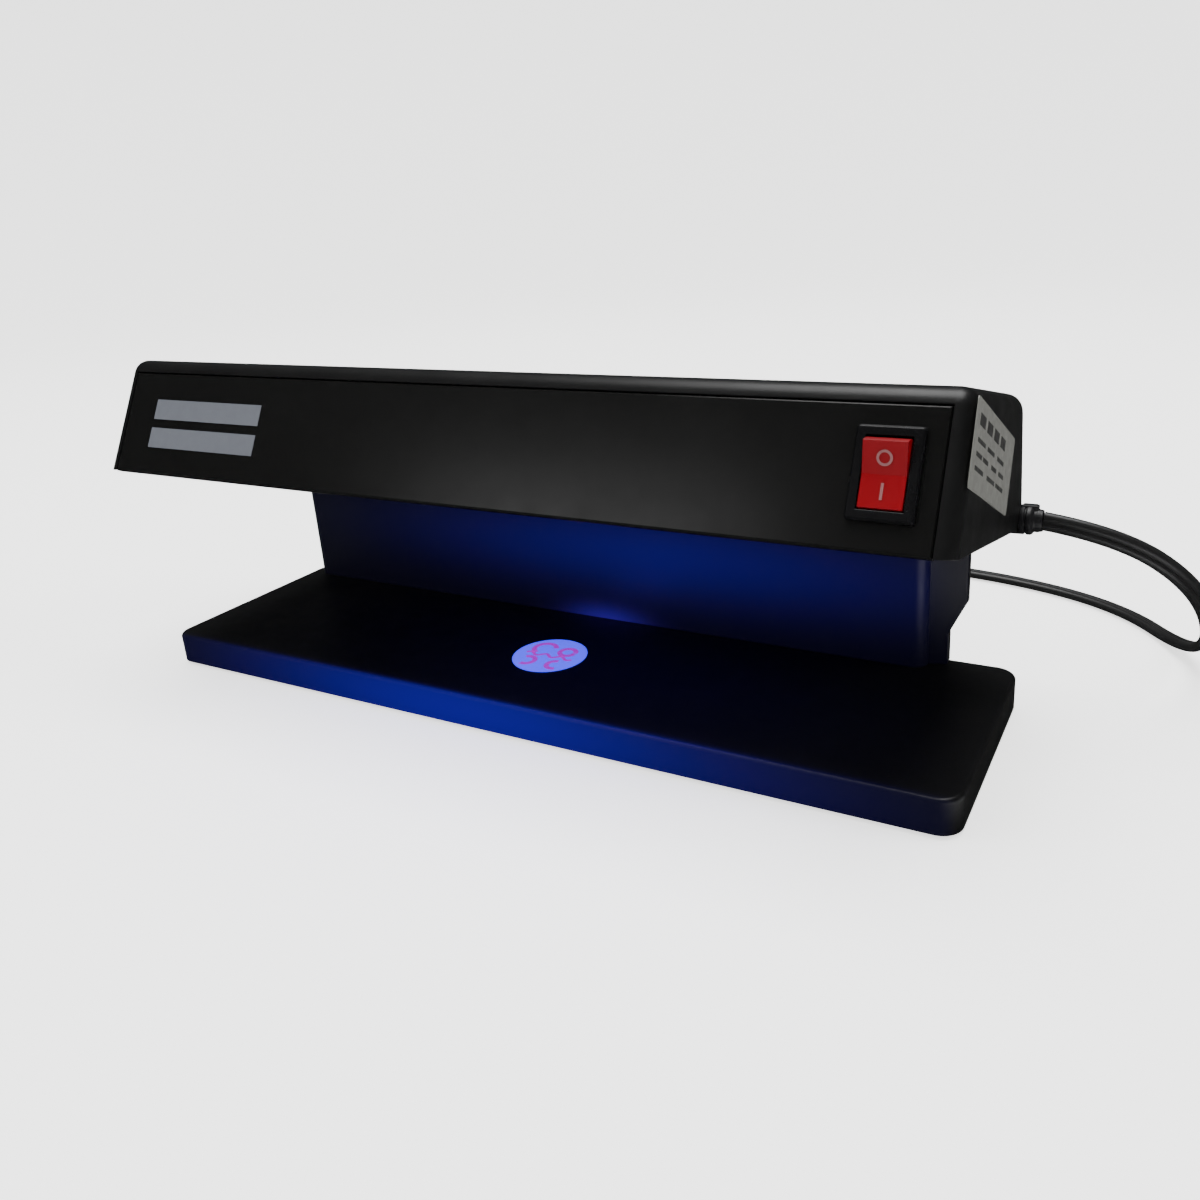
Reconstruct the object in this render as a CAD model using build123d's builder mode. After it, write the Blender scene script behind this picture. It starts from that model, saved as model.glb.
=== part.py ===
"""Tabletop ultraviolet banknote detector.

A flat base plate carries a thin upright column at its back edge, and the column carries a long
hood that leans out over the plate. The hood holds a 4 W T5 blacklight tube over the viewing gap,
its electronic ballast, a rocker switch on the sloping front panel, and the mains lead.

Millimetres. +X is to the right of a person in front, +Y is away from them, and +Z is up. The
origin is on the table, under the middle of the box round the housing.
"""

import os
from math import atan2, cos, hypot, pi, radians, sin, tan

from build123d import *

os.makedirs("parts", exist_ok=True)

# ---- Housing: overall sizes
body_width = 273.0  # base plate, side to side
overall_depth = 87.6  # hood's front lip to the back
peak_height = 107.2  # where the front panel and the roof would meet, but for the rounding
base_depth = 76.4
base_height = 9.9
foot_lift = 1.2  # table to the underside of the base
wall = 2.2  # every moulded wall
gap = 0.15  # between covers and the recesses that they sit in
root = 0.4  # how far ribs and posts go into the wall that they stand on

# ---- Base plate
base_corner = 6.0
base_edge = 1.2  # rounding round the top
cover_thick = 2.0
cover_rim = 1.2  # what is left of the wall beside the cover
foot_radius = 6.0
foot_sunk = 0.6
foot_inset = 15.0
post_radius = 3.5
post_side_inset = 24.5  # from the base's edges in to the posts that take the cover's screws
post_front_inset = 12.2
post_back_inset = 16.2
rib_thick = 1.5
rib_place = 56.0
screw_radius = 1.5
screw_head_radius = 2.8
screw_head_high = 1.7
head_room = 0.6  # round a screw's head
base_screw_long = 6.0
cover_screw_long = 7.0
column_screw_long = 8.7
tray_screw_long = 8.0

# ---- Column
column_left_inset = 4.8  # from the base's left side to the column
column_right_inset = 25.0
column_depth = 9.8
column_corner = 4.0
column_rise = 4.0  # how far its wall stands up inside the hood
flare_wide = 10.1  # the right side flares to meet the wider rear cover
flare_narrow = 5.1
flare_step_high = 30.9  # above here the flare is at its full width
flare_step_low = 20.6  # below here it is narrow
flare_start = 4.1  # how far behind the front wall the flare starts
cover_screw_inset = 13.0
cover_screw_low = 10.0
cover_screw_high = 33.0
column_screw_inset = 23.5
column_boss_wide = 6.0
column_boss_high = 9.0

# ---- Hood
hood_inset = 1.0  # each side, from the base to the hood
panel_low = 74.4  # height of the front panel's lower edge
panel_run = 17.2  # how far the front panel leans back over its height
roof_slope = 12.6  # degrees, falling towards the back
rear_lean = 13.75  # degrees from upright
rear_low = 52.4  # height of the rear wall's lower edge
skirt_kink = 22.4  # in front of the back, where the side skirts start to drop faster
hood_side_round = 4.5
hood_front_round = 4.9
hood_rear_round = 6.0

# ---- Front panel
panel_thick = 2.2
panel_top_margin = 4.2
panel_bevel = 0.5
ledge = 2.0
ledge_wide = 7.0
ledge_top = 4.0
ledge_start = 4.0  # clear of the lamp tray
panel_screw_inset = 4.4  # from inside the hood's side
panel_screw_low = 6.0
panel_screw_down = 8.0  # from the panel's upper edge
panel_screw_bite = 1.3  # into the panel
pin_screw_radius = 1.1
pin_head_radius = 2.0
pin_head_high = 1.4

# ---- Lamp tray under the hood
tray_thick = 1.8
tray_recess = 0.4
tray_side_gap = 0.2
tray_rear_gap = 1.9  # clear of the rounding inside the hood's rear corner
tray_front = 3.4  # from the hood's lip back to the tray's front edge
post_root = 1.2  # how deep the board's posts go into the tray
board_post_radius = 2.5
window_clear = 0.35  # past the lamp holders
window_front = 8.0
window_back = 42.0
boss_radius = 3.2
boss_inset = 37.5  # from the hood's sides in to the bosses
boss_switch_inset = 45.5  # further in beside the switch
boss_deep = 9.0
boss_back = 31.0
boss_rear = 58.0

# ---- Lamp, its holders and the reflector
tube_radius = 7.8
cap_radius = 8.0
cap_long = 9.0
tube_face = 67.95  # middle of the tube to the outer face of a cap
pin_radius = 1.15
pin_long = 7.1
pin_spacing = 5.0
lamp_back = 18.0  # lamp axis, along the tray from the lip
lamp_up = 15.5  # lamp axis, above the tray's line
rotor_radius = 5.5
rotor_thick = 6.6
turn_gap = 0.3
holder_thick = 10.4
holder_wide = 18.0
holder_high = 11.0  # above the lamp axis
holder_foot = 9.5
holder_foot_thick = 3.0
sheet_thick = 0.5

# ---- Ballast
board_long = 84.0
board_wide = 25.0
board_thick = 1.6
board_back = 62.5
board_up = 9.0
board_x = -12.0
wire_radius = 0.8
choke_shift = 14.0  # along the board from its middle
choke_long = 16.0
choke_wide = 14.0
choke_high = 12.0
choke_slot = 11.0  # window between the core's two ends
choke_leg = 5.0
choke_cheek = 2.0
winding_long = 10.6
winding_wide = 13.4
can_shift = -16.0
can_radius = 5.0
can_high = 13.0
film_shift = 29.0
film_long = 10.0
film_thick = 5.0
film_high = 8.5
transistor_shift = -4.0
transistor_apart = 12.0
transistor_wide = 7.6
transistor_thick = 2.8
transistor_high = 9.5
resistor_radius = 1.9
resistor_long = 9.0
resistor_shift = 24.0
resistor_back = 7.0

# ---- Rocker switch on the front panel
switch_inset = 16.6  # from the hood's right side to the middle of the switch
switch_up = 17.0
bezel_wide = 15.0
bezel_high = 21.0
bezel_proud = 1.6
switch_wide = 12.9
switch_high = 19.2
switch_deep = 12.5
well_wide = 10.4
well_high = 16.4
well_deep = 5.5
rocker_wide = 9.7
rocker_radius = 7.9
rocker_corner = 26.0  # degrees, from the pivot up to each end of the face
rocker_throw = 11.0  # degrees each way from level
rocker_pivot = -0.4  # from the panel's face
trunnion_radius = 1.0
trunnion_long = 0.7
trunnion_gap = 0.05
trunnion_end_gap = 0.1
rocker_shoulder = 10.0  # degrees below level, where each end's round stops
rocker_heel = 3.0
rocker_under = 3.4
mark_thick = 0.15
ring_outer = 1.75
ring_inner = 1.2
bar_mark_wide = 0.6
bar_mark_high = 3.6
terminal_wide = 6.3
terminal_thick = 0.8
terminal_long = 6.5
terminal_apart = 9.0

# ---- Mains lead
cord_wide = 5.2
cord_radius = cord_wide / 2
gland_back_inset = 7.2  # from the hood's back
gland_up = 6.7  # above the rear wall's lower edge
gland_radius = 2.9
gland_flange = 4.1
gland_flange_thick = 3.6
gland_collar = 3.3
gland_collar_long = 2.2
gland_inner_long = 14.0
coil_x = 30.0
coil_y = 112.0
coil_mid = 28.5
coil_wide = 11.0
coil_high = 10.6
coil_turns = 5.5
tail_long = 18.5
plug_long = 35.0
plug_wide = 25.6  # at the pins' end
plug_thick = 11.0
plug_round = 4.5
plug_neck_long = 14.0
plug_neck_wide = 12.3
plug_neck_thick = 9.0
plug_neck_round = 3.5
plug_neck_radius = 4.0  # where the cord enters
plug_pin_radius = 2.0
plug_pin_long = 19.0
plug_pin_spacing = 18.6

# ---- Labels and printed marks
label_thick = 0.15
sticker_radius = 12.0
sticker_x = 0.9
sticker_back = 33.8  # from the base's front edge
side_label_long = 51.0
side_label_high = 19.5
side_label_back = 36.1  # from the hood's lip
side_label_down = 20.7  # below the peak
side_label_tilt = 23.5  # degrees, falling towards the back
bar_inset = 17.7  # from the hood's left side
bar_long = 46.8
bar_high = 6.4
bar_low_up = 11.7
bar_high_up = 20.9

# ---- Places worked out from the sizes above
front_y = -overall_depth / 2
back_y = overall_depth / 2
base_front = back_y - base_depth
base_mid_y = back_y - base_depth / 2
base_low = foot_lift
base_top = foot_lift + base_height
base_inner_top = base_top - wall
half_body = body_width / 2
hood_width = body_width - 2 * hood_inset
half_hood = hood_width / 2
column_left = column_left_inset - half_body
column_right = half_body - column_right_inset
switch_x = half_hood - switch_inset
bar_x = bar_inset + bar_long / 2 - half_hood
gland_y = back_y - gland_back_inset
gland_z = rear_low + gland_up
sticker_y = base_front + sticker_back
side_label_y = front_y + side_label_back
side_label_z = peak_height - side_label_down
window_half = tube_face + turn_gap + holder_thick + window_clear
column_front_y = back_y - column_depth
rear_cover_y = back_y - wall
slope = radians(roof_slope)
slope_tan = tan(slope)
lean_tan = tan(radians(rear_lean))
panel_rise = peak_height - panel_low
panel_long = hypot(panel_run, panel_rise)
panel_angle = atan2(panel_rise, panel_run)
kink_y = back_y - skirt_kink
kink_z = panel_low - (kink_y - front_y) * slope_tan
skirt_tan = (kink_z - rear_low) / (back_y - kink_y)
roof_y = front_y + panel_run
corner_z = peak_height - (back_y + rear_low * lean_tan - roof_y) * slope_tan
corner_z = corner_z / (1 - slope_tan * lean_tan)
corner_y = back_y - (corner_z - rear_low) * lean_tan


def skirt_z(y):
    """Height of the hood's lower edge at a distance y along the side."""
    if y < kink_y:
        return panel_low - (y - front_y) * slope_tan
    return kink_z - (y - kink_y) * skirt_tan


def side_plane(origin, angle, x=0.0):
    """A plane facing +X whose own x points along an angle up from +Y."""
    along = (0, cos(angle), sin(angle))
    return Plane(origin=(x, origin[0], origin[1]), x_dir=along, z_dir=(1, 0, 0))


lip = (0, front_y, panel_low)
tray_plane = Plane(origin=lip, x_dir=(1, 0, 0), z_dir=(0, sin(slope), cos(slope)))
panel_out = (0, -sin(panel_angle), cos(panel_angle))
panel_plane = Plane(origin=lip, x_dir=(1, 0, 0), z_dir=panel_out)
tray_section = side_plane((front_y, panel_low), -slope)
tray_top = tray_recess + tray_thick


def in_tray(x, back, up):
    """A point given along and above the lamp tray, in the object's own frame."""
    return tray_plane.from_local_coords((x, back, up))


def on_panel(x, up, out):
    """A point given on and out from the front panel, in the object's own frame."""
    return panel_plane.from_local_coords((x, up, out))


def pan_screws(name, heads, direction, shank, head_radius, head_high, radius):
    """Pan-head screws: one at each head seat, with the shank going along direction."""
    with BuildPart() as screws:
        for seat in heads:
            seat_plane = Plane(origin=seat, z_dir=direction)
            with BuildSketch(seat_plane):
                Circle(radius)
            extrude(amount=shank)
            with BuildSketch(seat_plane):
                Circle(head_radius)
            extrude(amount=-head_high)
            with BuildSketch(seat_plane.offset(-head_high)):
                Rectangle(head_radius * 1.3, head_radius * 0.32)
            extrude(amount=head_high * 0.5, mode=Mode.SUBTRACT)
    screws.part.label = name
    export_step(screws.part, f"parts/{name}.step")


def sunk_screws(name, heads, direction, shank, head_radius, radius):
    """Countersunk screws: a flush cone head at each point, with a cross slot."""
    with BuildPart() as screws:
        cone = head_radius - radius
        for seat in heads:
            seat_plane = Plane(origin=seat, z_dir=direction)
            with BuildSketch(seat_plane):
                Circle(head_radius)
            with BuildSketch(seat_plane.offset(cone)):
                Circle(radius)
            loft()
            with BuildSketch(seat_plane.offset(cone)):
                Circle(radius)
            extrude(amount=shank - cone)
            with BuildSketch(seat_plane):
                Rectangle(head_radius * 1.2, head_radius * 0.3)
                Rectangle(head_radius * 0.3, head_radius * 1.2)
            extrude(amount=cone * 0.6, mode=Mode.SUBTRACT)
    screws.part.label = name
    export_step(screws.part, f"parts/{name}.step")


def lead(name, points, radii, radius):
    """A round wire or cord along straight runs joined by tangent arcs."""
    with BuildPart() as wire:
        with BuildLine():
            route = FilletPolyline(*points, radius=radii)
        with BuildSketch(Plane(origin=route @ 0, z_dir=route % 0)):
            Circle(radius)
        sweep(path=route)
    length = route.length
    expected = pi * radius**2 * length
    print(f"{name}: length {length:.1f}, volume {wire.part.volume:.1f} of {expected:.1f}")
    wire.part.label = name
    export_step(wire.part, f"parts/{name}.step")


# ======== Base plate ========

post_x = half_body - post_side_inset
post_rows = (base_front + post_front_inset, back_y - post_back_inset)
base_posts = [(x, y) for x in (-post_x, 0, post_x) for y in post_rows]
column_mid_x = (column_left + column_right) / 2
column_screws_x = (column_left + column_screw_inset, column_mid_x, column_right - column_screw_inset)
column_screw_y = (column_front_y + wall + rear_cover_y) / 2

with BuildPart() as base_plate:
    with BuildSketch(Plane.XY.offset(base_low)):
        with Locations((0, base_mid_y)):
            RectangleRounded(body_width, base_depth, base_corner)
    extrude(amount=base_height)
    fillet(base_plate.faces().sort_by(Axis.Z)[-1].edges(), base_edge)
    with BuildSketch(Plane.XY.offset(base_low)):
        with Locations((0, base_mid_y)):
            RectangleRounded(body_width - 2 * wall, base_depth - 2 * wall, base_corner - wall)
    extrude(amount=base_height - wall, mode=Mode.SUBTRACT)
    with BuildSketch(Plane.XY.offset(base_low)):
        with Locations((0, base_mid_y)):
            RectangleRounded(
                body_width - 2 * cover_rim, base_depth - 2 * cover_rim, base_corner - cover_rim
            )
    extrude(amount=cover_thick, mode=Mode.SUBTRACT)
    with BuildSketch(Plane.XY.offset(base_low + cover_thick)):
        with Locations(*base_posts):
            Circle(post_radius)
        with Locations((-rib_place, base_mid_y), (rib_place, base_mid_y)):
            Rectangle(rib_thick, base_depth - 2 * wall + root)
        with Locations((0, base_mid_y)):
            Rectangle(body_width - 2 * wall + root, rib_thick)
    extrude(amount=base_inner_top - base_low - cover_thick + root / 2)
    with BuildSketch(Plane.XY.offset(base_low + cover_thick)):
        with Locations(*base_posts):
            Circle(screw_radius)
    extrude(amount=base_screw_long - cover_thick + 1.0, mode=Mode.SUBTRACT)
    with BuildSketch(Plane.XY.offset(base_inner_top - screw_head_high - head_room)):
        with Locations(*[(x, column_screw_y) for x in column_screws_x]):
            Circle(screw_head_radius + head_room)
    extrude(amount=screw_head_high + head_room, mode=Mode.SUBTRACT)
    with BuildSketch(Plane.XY.offset(base_inner_top)):
        with Locations(*[(x, column_screw_y) for x in column_screws_x]):
            Circle(screw_radius)
    extrude(amount=wall, mode=Mode.SUBTRACT)
base_plate.part.label = "base_plate"
export_step(base_plate.part, "parts/base_plate.step")

foot_places = [
    (x * (half_body - foot_inset), base_mid_y + y * (base_depth / 2 - foot_inset))
    for x in (-1, 1)
    for y in (-1, 1)
]
with BuildPart() as base_cover:
    with BuildSketch(Plane.XY.offset(base_low)):
        with Locations((0, base_mid_y)):
            RectangleRounded(
                body_width - 2 * (cover_rim + gap),
                base_depth - 2 * (cover_rim + gap),
                base_corner - cover_rim,
            )
    extrude(amount=cover_thick)
    with BuildSketch(Plane.XY.offset(base_low)):
        with Locations(*foot_places):
            Circle(foot_radius + gap)
    extrude(amount=foot_sunk, mode=Mode.SUBTRACT)
    with Locations(*[Location((x, y, base_low), (180, 0, 0)) for x, y in base_posts]):
        CounterSinkHole(screw_radius, screw_head_radius, depth=cover_thick, counter_sink_angle=90)
base_cover.part.label = "base_cover"
export_step(base_cover.part, "parts/base_cover.step")

sunk_screws(
    "base_screws",
    [(x, y, base_low) for x, y in base_posts],
    (0, 0, 1),
    base_screw_long,
    screw_head_radius,
    screw_radius,
)

with BuildPart() as rubber_feet:
    with BuildSketch(Plane.XY):
        with Locations(*foot_places):
            Circle(foot_radius)
    extrude(amount=foot_lift + foot_sunk)
    chamfer(rubber_feet.edges().group_by(Axis.Z)[0], 0.4)
rubber_feet.part.label = "rubber_feet"
export_step(rubber_feet.part, "parts/rubber_feet.step")

with BuildPart() as test_sticker:
    with BuildSketch(Plane.XY.offset(base_top)):
        with Locations((sticker_x, sticker_y)):
            Circle(sticker_radius)
    extrude(amount=label_thick)
test_sticker.part.label = "test_sticker"
export_step(test_sticker.part, "parts/test_sticker.step")

# ======== Column and rear cover ========

column_top = skirt_z(column_front_y) + tray_top + column_rise
column_wide = column_right - column_left
cover_screws = [
    (x, z)
    for x in (column_left + cover_screw_inset, column_mid_x, column_right - cover_screw_inset)
    for z in (base_top + cover_screw_low, base_top + cover_screw_high)
]
cover_edge = column_right + flare_wide

with BuildPart() as column_front:
    with BuildSketch(Plane.XY.offset(base_top)):
        with Locations((column_mid_x, (column_front_y + rear_cover_y) / 2)):
            Rectangle(column_wide, rear_cover_y - column_front_y)
    extrude(amount=column_top - base_top)
    front_corners = column_front.edges().filter_by(Axis.Z).group_by(Axis.Y)[0]
    fillet(front_corners, column_corner)
    with BuildSketch(Plane.XY.offset(base_top + wall)):
        with Locations((column_mid_x, (column_front_y + wall + rear_cover_y) / 2)):
            Rectangle(column_wide - 2 * wall, rear_cover_y - column_front_y - wall)
    extrude(amount=column_top - base_top, mode=Mode.SUBTRACT)
    # The right side flares out to the rear cover's edge.
    with BuildSketch(Plane.XY.offset(base_top)):
        flare_y = column_front_y + flare_start
        with BuildLine():
            Polyline(
                (column_right - wall, flare_y),
                (column_right, flare_y),
                (cover_edge, rear_cover_y),
                (column_right - wall, rear_cover_y),
                close=True,
            )
        make_face()
    extrude(amount=skirt_z(rear_cover_y) - base_top)
    with BuildSketch(Plane.XZ.offset(-back_y)):
        with BuildLine():
            Polyline(
                (column_right + flare_narrow, base_top - 1),
                (column_right + flare_narrow, flare_step_low),
                (cover_edge, flare_step_high),
                (cover_edge + 5, flare_step_high),
                (cover_edge + 5, base_top - 1),
                close=True,
            )
        make_face()
    extrude(amount=column_depth, mode=Mode.SUBTRACT)
    # The top stands up inside the hood, clear of the hood's leaning rear wall.
    inner_y = back_y - wall / cos(radians(rear_lean)) - 2 * gap
    with BuildSketch(Plane.YZ.offset(column_left - 1)):
        with BuildLine():
            Polyline(
                (inner_y, rear_low - 2 * gap),
                (back_y + 1, rear_low - 2 * gap),
                (back_y + 1, column_top + 1),
                (inner_y - (column_top + 1 - rear_low) * lean_tan, column_top + 1),
                close=True,
            )
        make_face()
    extrude(amount=column_wide + flare_wide + 2, mode=Mode.SUBTRACT)
    # Bosses for the rear cover's screws, and for the screws that come up through the base.
    with BuildSketch(Plane.XZ.offset(-column_front_y - wall)):
        with Locations(*cover_screws):
            Circle(boss_radius)
    extrude(amount=-(rear_cover_y - column_front_y - wall))
    with BuildSketch(Plane.XY.offset(base_top)):
        with Locations(*[(x, column_screw_y) for x in column_screws_x]):
            Rectangle(column_boss_wide, rear_cover_y - column_front_y - wall)
    extrude(amount=column_boss_high)
    with BuildSketch(Plane.XZ.offset(-rear_cover_y)):
        with Locations(*cover_screws):
            Circle(screw_radius)
    extrude(amount=cover_screw_long - wall + 0.2, mode=Mode.SUBTRACT)
    with BuildSketch(Plane.XY.offset(base_top)):
        with Locations(*[(x, column_screw_y) for x in column_screws_x]):
            Circle(screw_radius)
    extrude(amount=column_screw_long - wall + 0.5, mode=Mode.SUBTRACT)
column_front.part.label = "column_front"
export_step(column_front.part, "parts/column_front.step")

with BuildPart() as rear_cover:
    with BuildSketch(Plane.XZ.offset(-rear_cover_y)):
        with BuildLine():
            Polyline(
                (column_left, base_top),
                (column_right + flare_narrow, base_top),
                (column_right + flare_narrow, flare_step_low),
                (cover_edge, flare_step_high),
                (cover_edge, rear_low - gap),
                (column_left, rear_low - gap),
                close=True,
            )
        make_face()
    extrude(amount=-wall)
    with Locations(*[Location((x, back_y, z), (-90, 0, 0)) for x, z in cover_screws]):
        CounterSinkHole(screw_radius, screw_head_radius, depth=wall, counter_sink_angle=90)
rear_cover.part.label = "rear_cover"
export_step(rear_cover.part, "parts/rear_cover.step")

sunk_screws(
    "rear_cover_screws",
    [(x, back_y, z) for x, z in cover_screws],
    (0, -1, 0),
    cover_screw_long,
    screw_head_radius,
    screw_radius,
)
pan_screws(
    "column_screws",
    [(x, column_screw_y, base_inner_top) for x in column_screws_x],
    (0, 0, 1),
    column_screw_long,
    screw_head_radius,
    screw_head_high,
    screw_radius,
)

# ======== Hood ========

panel_half = half_hood - hood_side_round - gap
panel_high = panel_long - panel_top_margin
boss_out = half_hood - boss_inset
boss_in = half_hood - boss_switch_inset
tray_bosses = [(-boss_out, boss_back), (boss_out, boss_back), (-boss_out, boss_rear)]
tray_bosses += [(boss_in, boss_rear)]
panel_screw_x = half_hood - wall - panel_screw_inset
panel_screw_rows = (panel_screw_low, panel_high - panel_screw_down)
panel_screws = [(side * panel_screw_x, up) for side in (-1, 1) for up in panel_screw_rows]

with BuildPart() as hood:
    with BuildSketch(Plane.YZ):
        with BuildLine():
            Polyline(
                (front_y, panel_low),
                (roof_y, peak_height),
                (corner_y, corner_z),
                (back_y, rear_low),
                (kink_y, kink_z),
                close=True,
            )
        make_face()
        fillet(vertices().sort_by_distance((roof_y, peak_height))[0], hood_front_round)
        fillet(vertices().sort_by_distance((corner_y, corner_z))[0], hood_rear_round)
    extrude(amount=half_hood, both=True)
    side_edges = hood.edges().group_by(Axis.X)[0] + hood.edges().group_by(Axis.X)[-1]
    fillet([e for e in side_edges if tray_plane.to_local_coords(e.center()).Z > 1], hood_side_round)
    under = [f for f in hood.faces() if tray_plane.to_local_coords(f.center()).Z < 1]
    offset(amount=-wall, openings=under)
    # Opening for the front panel, and the ledge that the panel rests on.
    with BuildSketch(panel_plane.offset(1)):
        with Locations((0, (panel_high + gap - 10) / 2)):
            Rectangle(2 * (panel_half + gap), panel_high + gap + 10)
    extrude(amount=-(1 + panel_thick), mode=Mode.SUBTRACT)
    with BuildSketch(panel_plane.offset(-panel_thick)):
        for side in (-1, 1):
            ledge_x = side * (half_hood - wall + 0.2 - ledge_wide / 2)
            with Locations((ledge_x, (panel_long + ledge_start - 0.6) / 2)):
                Rectangle(ledge_wide, panel_long - ledge_start - 0.6)
        with Locations((0, panel_high - ledge_top + 3.0)):
            Rectangle(2 * (half_hood - wall - 1), 6.0)
    extrude(amount=-ledge)
    with BuildSketch(panel_plane.offset(-panel_thick)):
        with Locations(*panel_screws):
            Circle(pin_screw_radius)
    extrude(amount=-ledge, mode=Mode.SUBTRACT)
    # Bosses that hang from the roof and take the tray's screws.
    with BuildSketch(tray_plane.offset(tray_top)):
        with Locations(*tray_bosses):
            Circle(boss_radius)
    extrude(until=Until.NEXT)
    with BuildSketch(tray_plane.offset(tray_top)):
        with Locations(*tray_bosses):
            Circle(screw_radius)
    extrude(amount=boss_deep, mode=Mode.SUBTRACT)
    # Hole for the mains lead's strain relief.
    with BuildSketch(Plane.YZ.offset(half_hood - wall - 1)):
        with Locations((gland_y, gland_z)):
            Circle(gland_radius + 0.05)
    extrude(amount=wall + 2, mode=Mode.SUBTRACT)
hood.part.label = "hood"
export_step(hood.part, "parts/hood.step")

with BuildPart() as front_panel:
    with BuildSketch(panel_plane):
        with Locations((0, panel_high / 2)):
            Rectangle(2 * panel_half, panel_high)
    extrude(amount=-panel_thick)
    outer = front_panel.faces().sort_by(Axis(lip, panel_out))[-1]
    chamfer(outer.edges(), panel_bevel)
    with BuildSketch(panel_plane):
        with Locations((switch_x, switch_up)):
            Rectangle(switch_wide + 2 * gap, switch_high + 2 * gap)
    extrude(amount=-panel_thick, mode=Mode.SUBTRACT)
    with BuildSketch(panel_plane.offset(-panel_thick)):
        with Locations(*panel_screws):
            Circle(pin_screw_radius)
    extrude(amount=panel_screw_bite, mode=Mode.SUBTRACT)
front_panel.part.label = "front_panel"
export_step(front_panel.part, "parts/front_panel.step")

pan_screws(
    "panel_screws",
    [on_panel(x, up, -panel_thick - ledge) for x, up in panel_screws],
    panel_out,
    ledge + panel_screw_bite,
    pin_head_radius,
    pin_head_high,
    pin_screw_radius,
)

with BuildPart() as printed_bars:
    with BuildSketch(panel_plane):
        with Locations((bar_x, bar_low_up), (bar_x, bar_high_up)):
            Rectangle(bar_long, bar_high)
    extrude(amount=mark_thick)
printed_bars.part.label = "printed_bars"
export_step(printed_bars.part, "parts/printed_bars.step")

with BuildPart() as side_label:
    label_plane = side_plane((side_label_y, side_label_z), -radians(side_label_tilt), half_hood)
    with BuildSketch(label_plane):
        RectangleRounded(side_label_long, side_label_high, 1.0)
    extrude(amount=label_thick)
side_label.part.label = "side_label"
export_step(side_label.part, "parts/side_label.step")

# ======== Lamp tray ========

tray_half = half_hood - wall - tray_side_gap
board_posts = [
    (board_x + x * (board_long / 2 - 4), board_back + y * (board_wide / 2 - 3))
    for x in (-1, 1)
    for y in (-1, 1)
]
foot_x = tube_face + holder_thick + holder_foot / 2 + 0.4
reflector_back = window_back + 0.6
flange = 4.0
reflector_screws = [(x, reflector_back + flange / 2 + 0.3) for x in (-50, 50)]


def tray_strip(y_end):
    """Corners of the tray's section, from behind the panel back to y_end."""
    start = in_tray(0, tray_front, 0)
    low = tray_recess / cos(slope)
    high = tray_top / cos(slope)
    strip = [(start.Y, skirt_z(start.Y) + low), (kink_y, kink_z + low)]
    strip += [(y_end, skirt_z(y_end) + low), (y_end, skirt_z(y_end) + high)]
    strip += [(kink_y, kink_z + high), (start.Y, skirt_z(start.Y) + high)]
    return strip


with BuildPart() as lamp_tray:
    with BuildSketch(Plane.YZ.offset(-tray_half)):
        with BuildLine():
            Polyline(*tray_strip(column_front_y), close=True)
        make_face()
    extrude(amount=2 * tray_half)
    with BuildSketch(Plane.YZ.offset(cover_edge + gap)):
        with BuildLine():
            Polyline(*tray_strip(rear_cover_y - tray_rear_gap), close=True)
        make_face()
    extrude(amount=tray_half - cover_edge - gap)
    with BuildSketch(tray_plane):
        with Locations((0, (window_front + window_back) / 2)):
            RectangleRounded(2 * window_half, window_back - window_front, 2.0)
    extrude(amount=tray_top + 1, mode=Mode.SUBTRACT)
    with BuildSketch(tray_plane.offset(tray_top - post_root)):
        with Locations(*board_posts):
            Circle(board_post_radius)
    extrude(amount=board_up - tray_top + post_root)
    with BuildSketch(tray_plane.offset(tray_top)):
        with Locations(*board_posts):
            Circle(pin_screw_radius)
    extrude(amount=board_up, mode=Mode.SUBTRACT)
    with BuildSketch(tray_plane):
        with Locations(*tray_bosses):
            Circle(screw_radius)
        with Locations((-foot_x, lamp_back), (foot_x, lamp_back), *reflector_screws):
            Circle(pin_screw_radius)
    extrude(amount=tray_top, mode=Mode.SUBTRACT)
    # Cradle for the inner end of the strain relief.
    with BuildSketch(Plane.YZ.offset(cover_edge - 2)):
        with Locations((gland_y, gland_z)):
            Circle(gland_radius + 0.5)
    extrude(amount=20, mode=Mode.SUBTRACT)
lamp_tray.part.label = "lamp_tray"
export_step(lamp_tray.part, "parts/lamp_tray.step")

tray_up = tuple(tray_plane.z_dir)
tray_down = tuple(-tray_plane.z_dir)
pan_screws(
    "tray_screws",
    [in_tray(x, back, tray_recess) for x, back in tray_bosses],
    tray_up,
    tray_screw_long,
    screw_head_radius,
    screw_head_high,
    screw_radius,
)

# ======== Reflector, lamp holders and lamp ========

reflector_front = 6.9
reflector_roof = lamp_up + cap_radius + 2.2

with BuildPart() as reflector:
    with BuildSketch(tray_section.offset(-tube_face + 0.6)):
        with BuildLine():
            Polyline(
                (reflector_front, tray_top + 0.1),
                (reflector_front + 3.5, reflector_roof),
                (lamp_back + 9.0, reflector_roof),
                (reflector_back, tray_top + sheet_thick / 2),
                (reflector_back + flange, tray_top + sheet_thick / 2),
            )
        trace(line_width=sheet_thick)
    extrude(amount=2 * (tube_face - 0.6))
    with BuildSketch(tray_plane):
        with Locations(*reflector_screws):
            Circle(pin_screw_radius)
    extrude(amount=tray_top + 3, mode=Mode.SUBTRACT)
reflector.part.label = "reflector"
export_step(reflector.part, "parts/reflector.step")

pan_screws(
    "reflector_screws",
    [in_tray(x, back, tray_top + sheet_thick) for x, back in reflector_screws],
    tray_down,
    sheet_thick + tray_thick,
    pin_head_radius,
    pin_head_high,
    pin_screw_radius,
)

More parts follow.
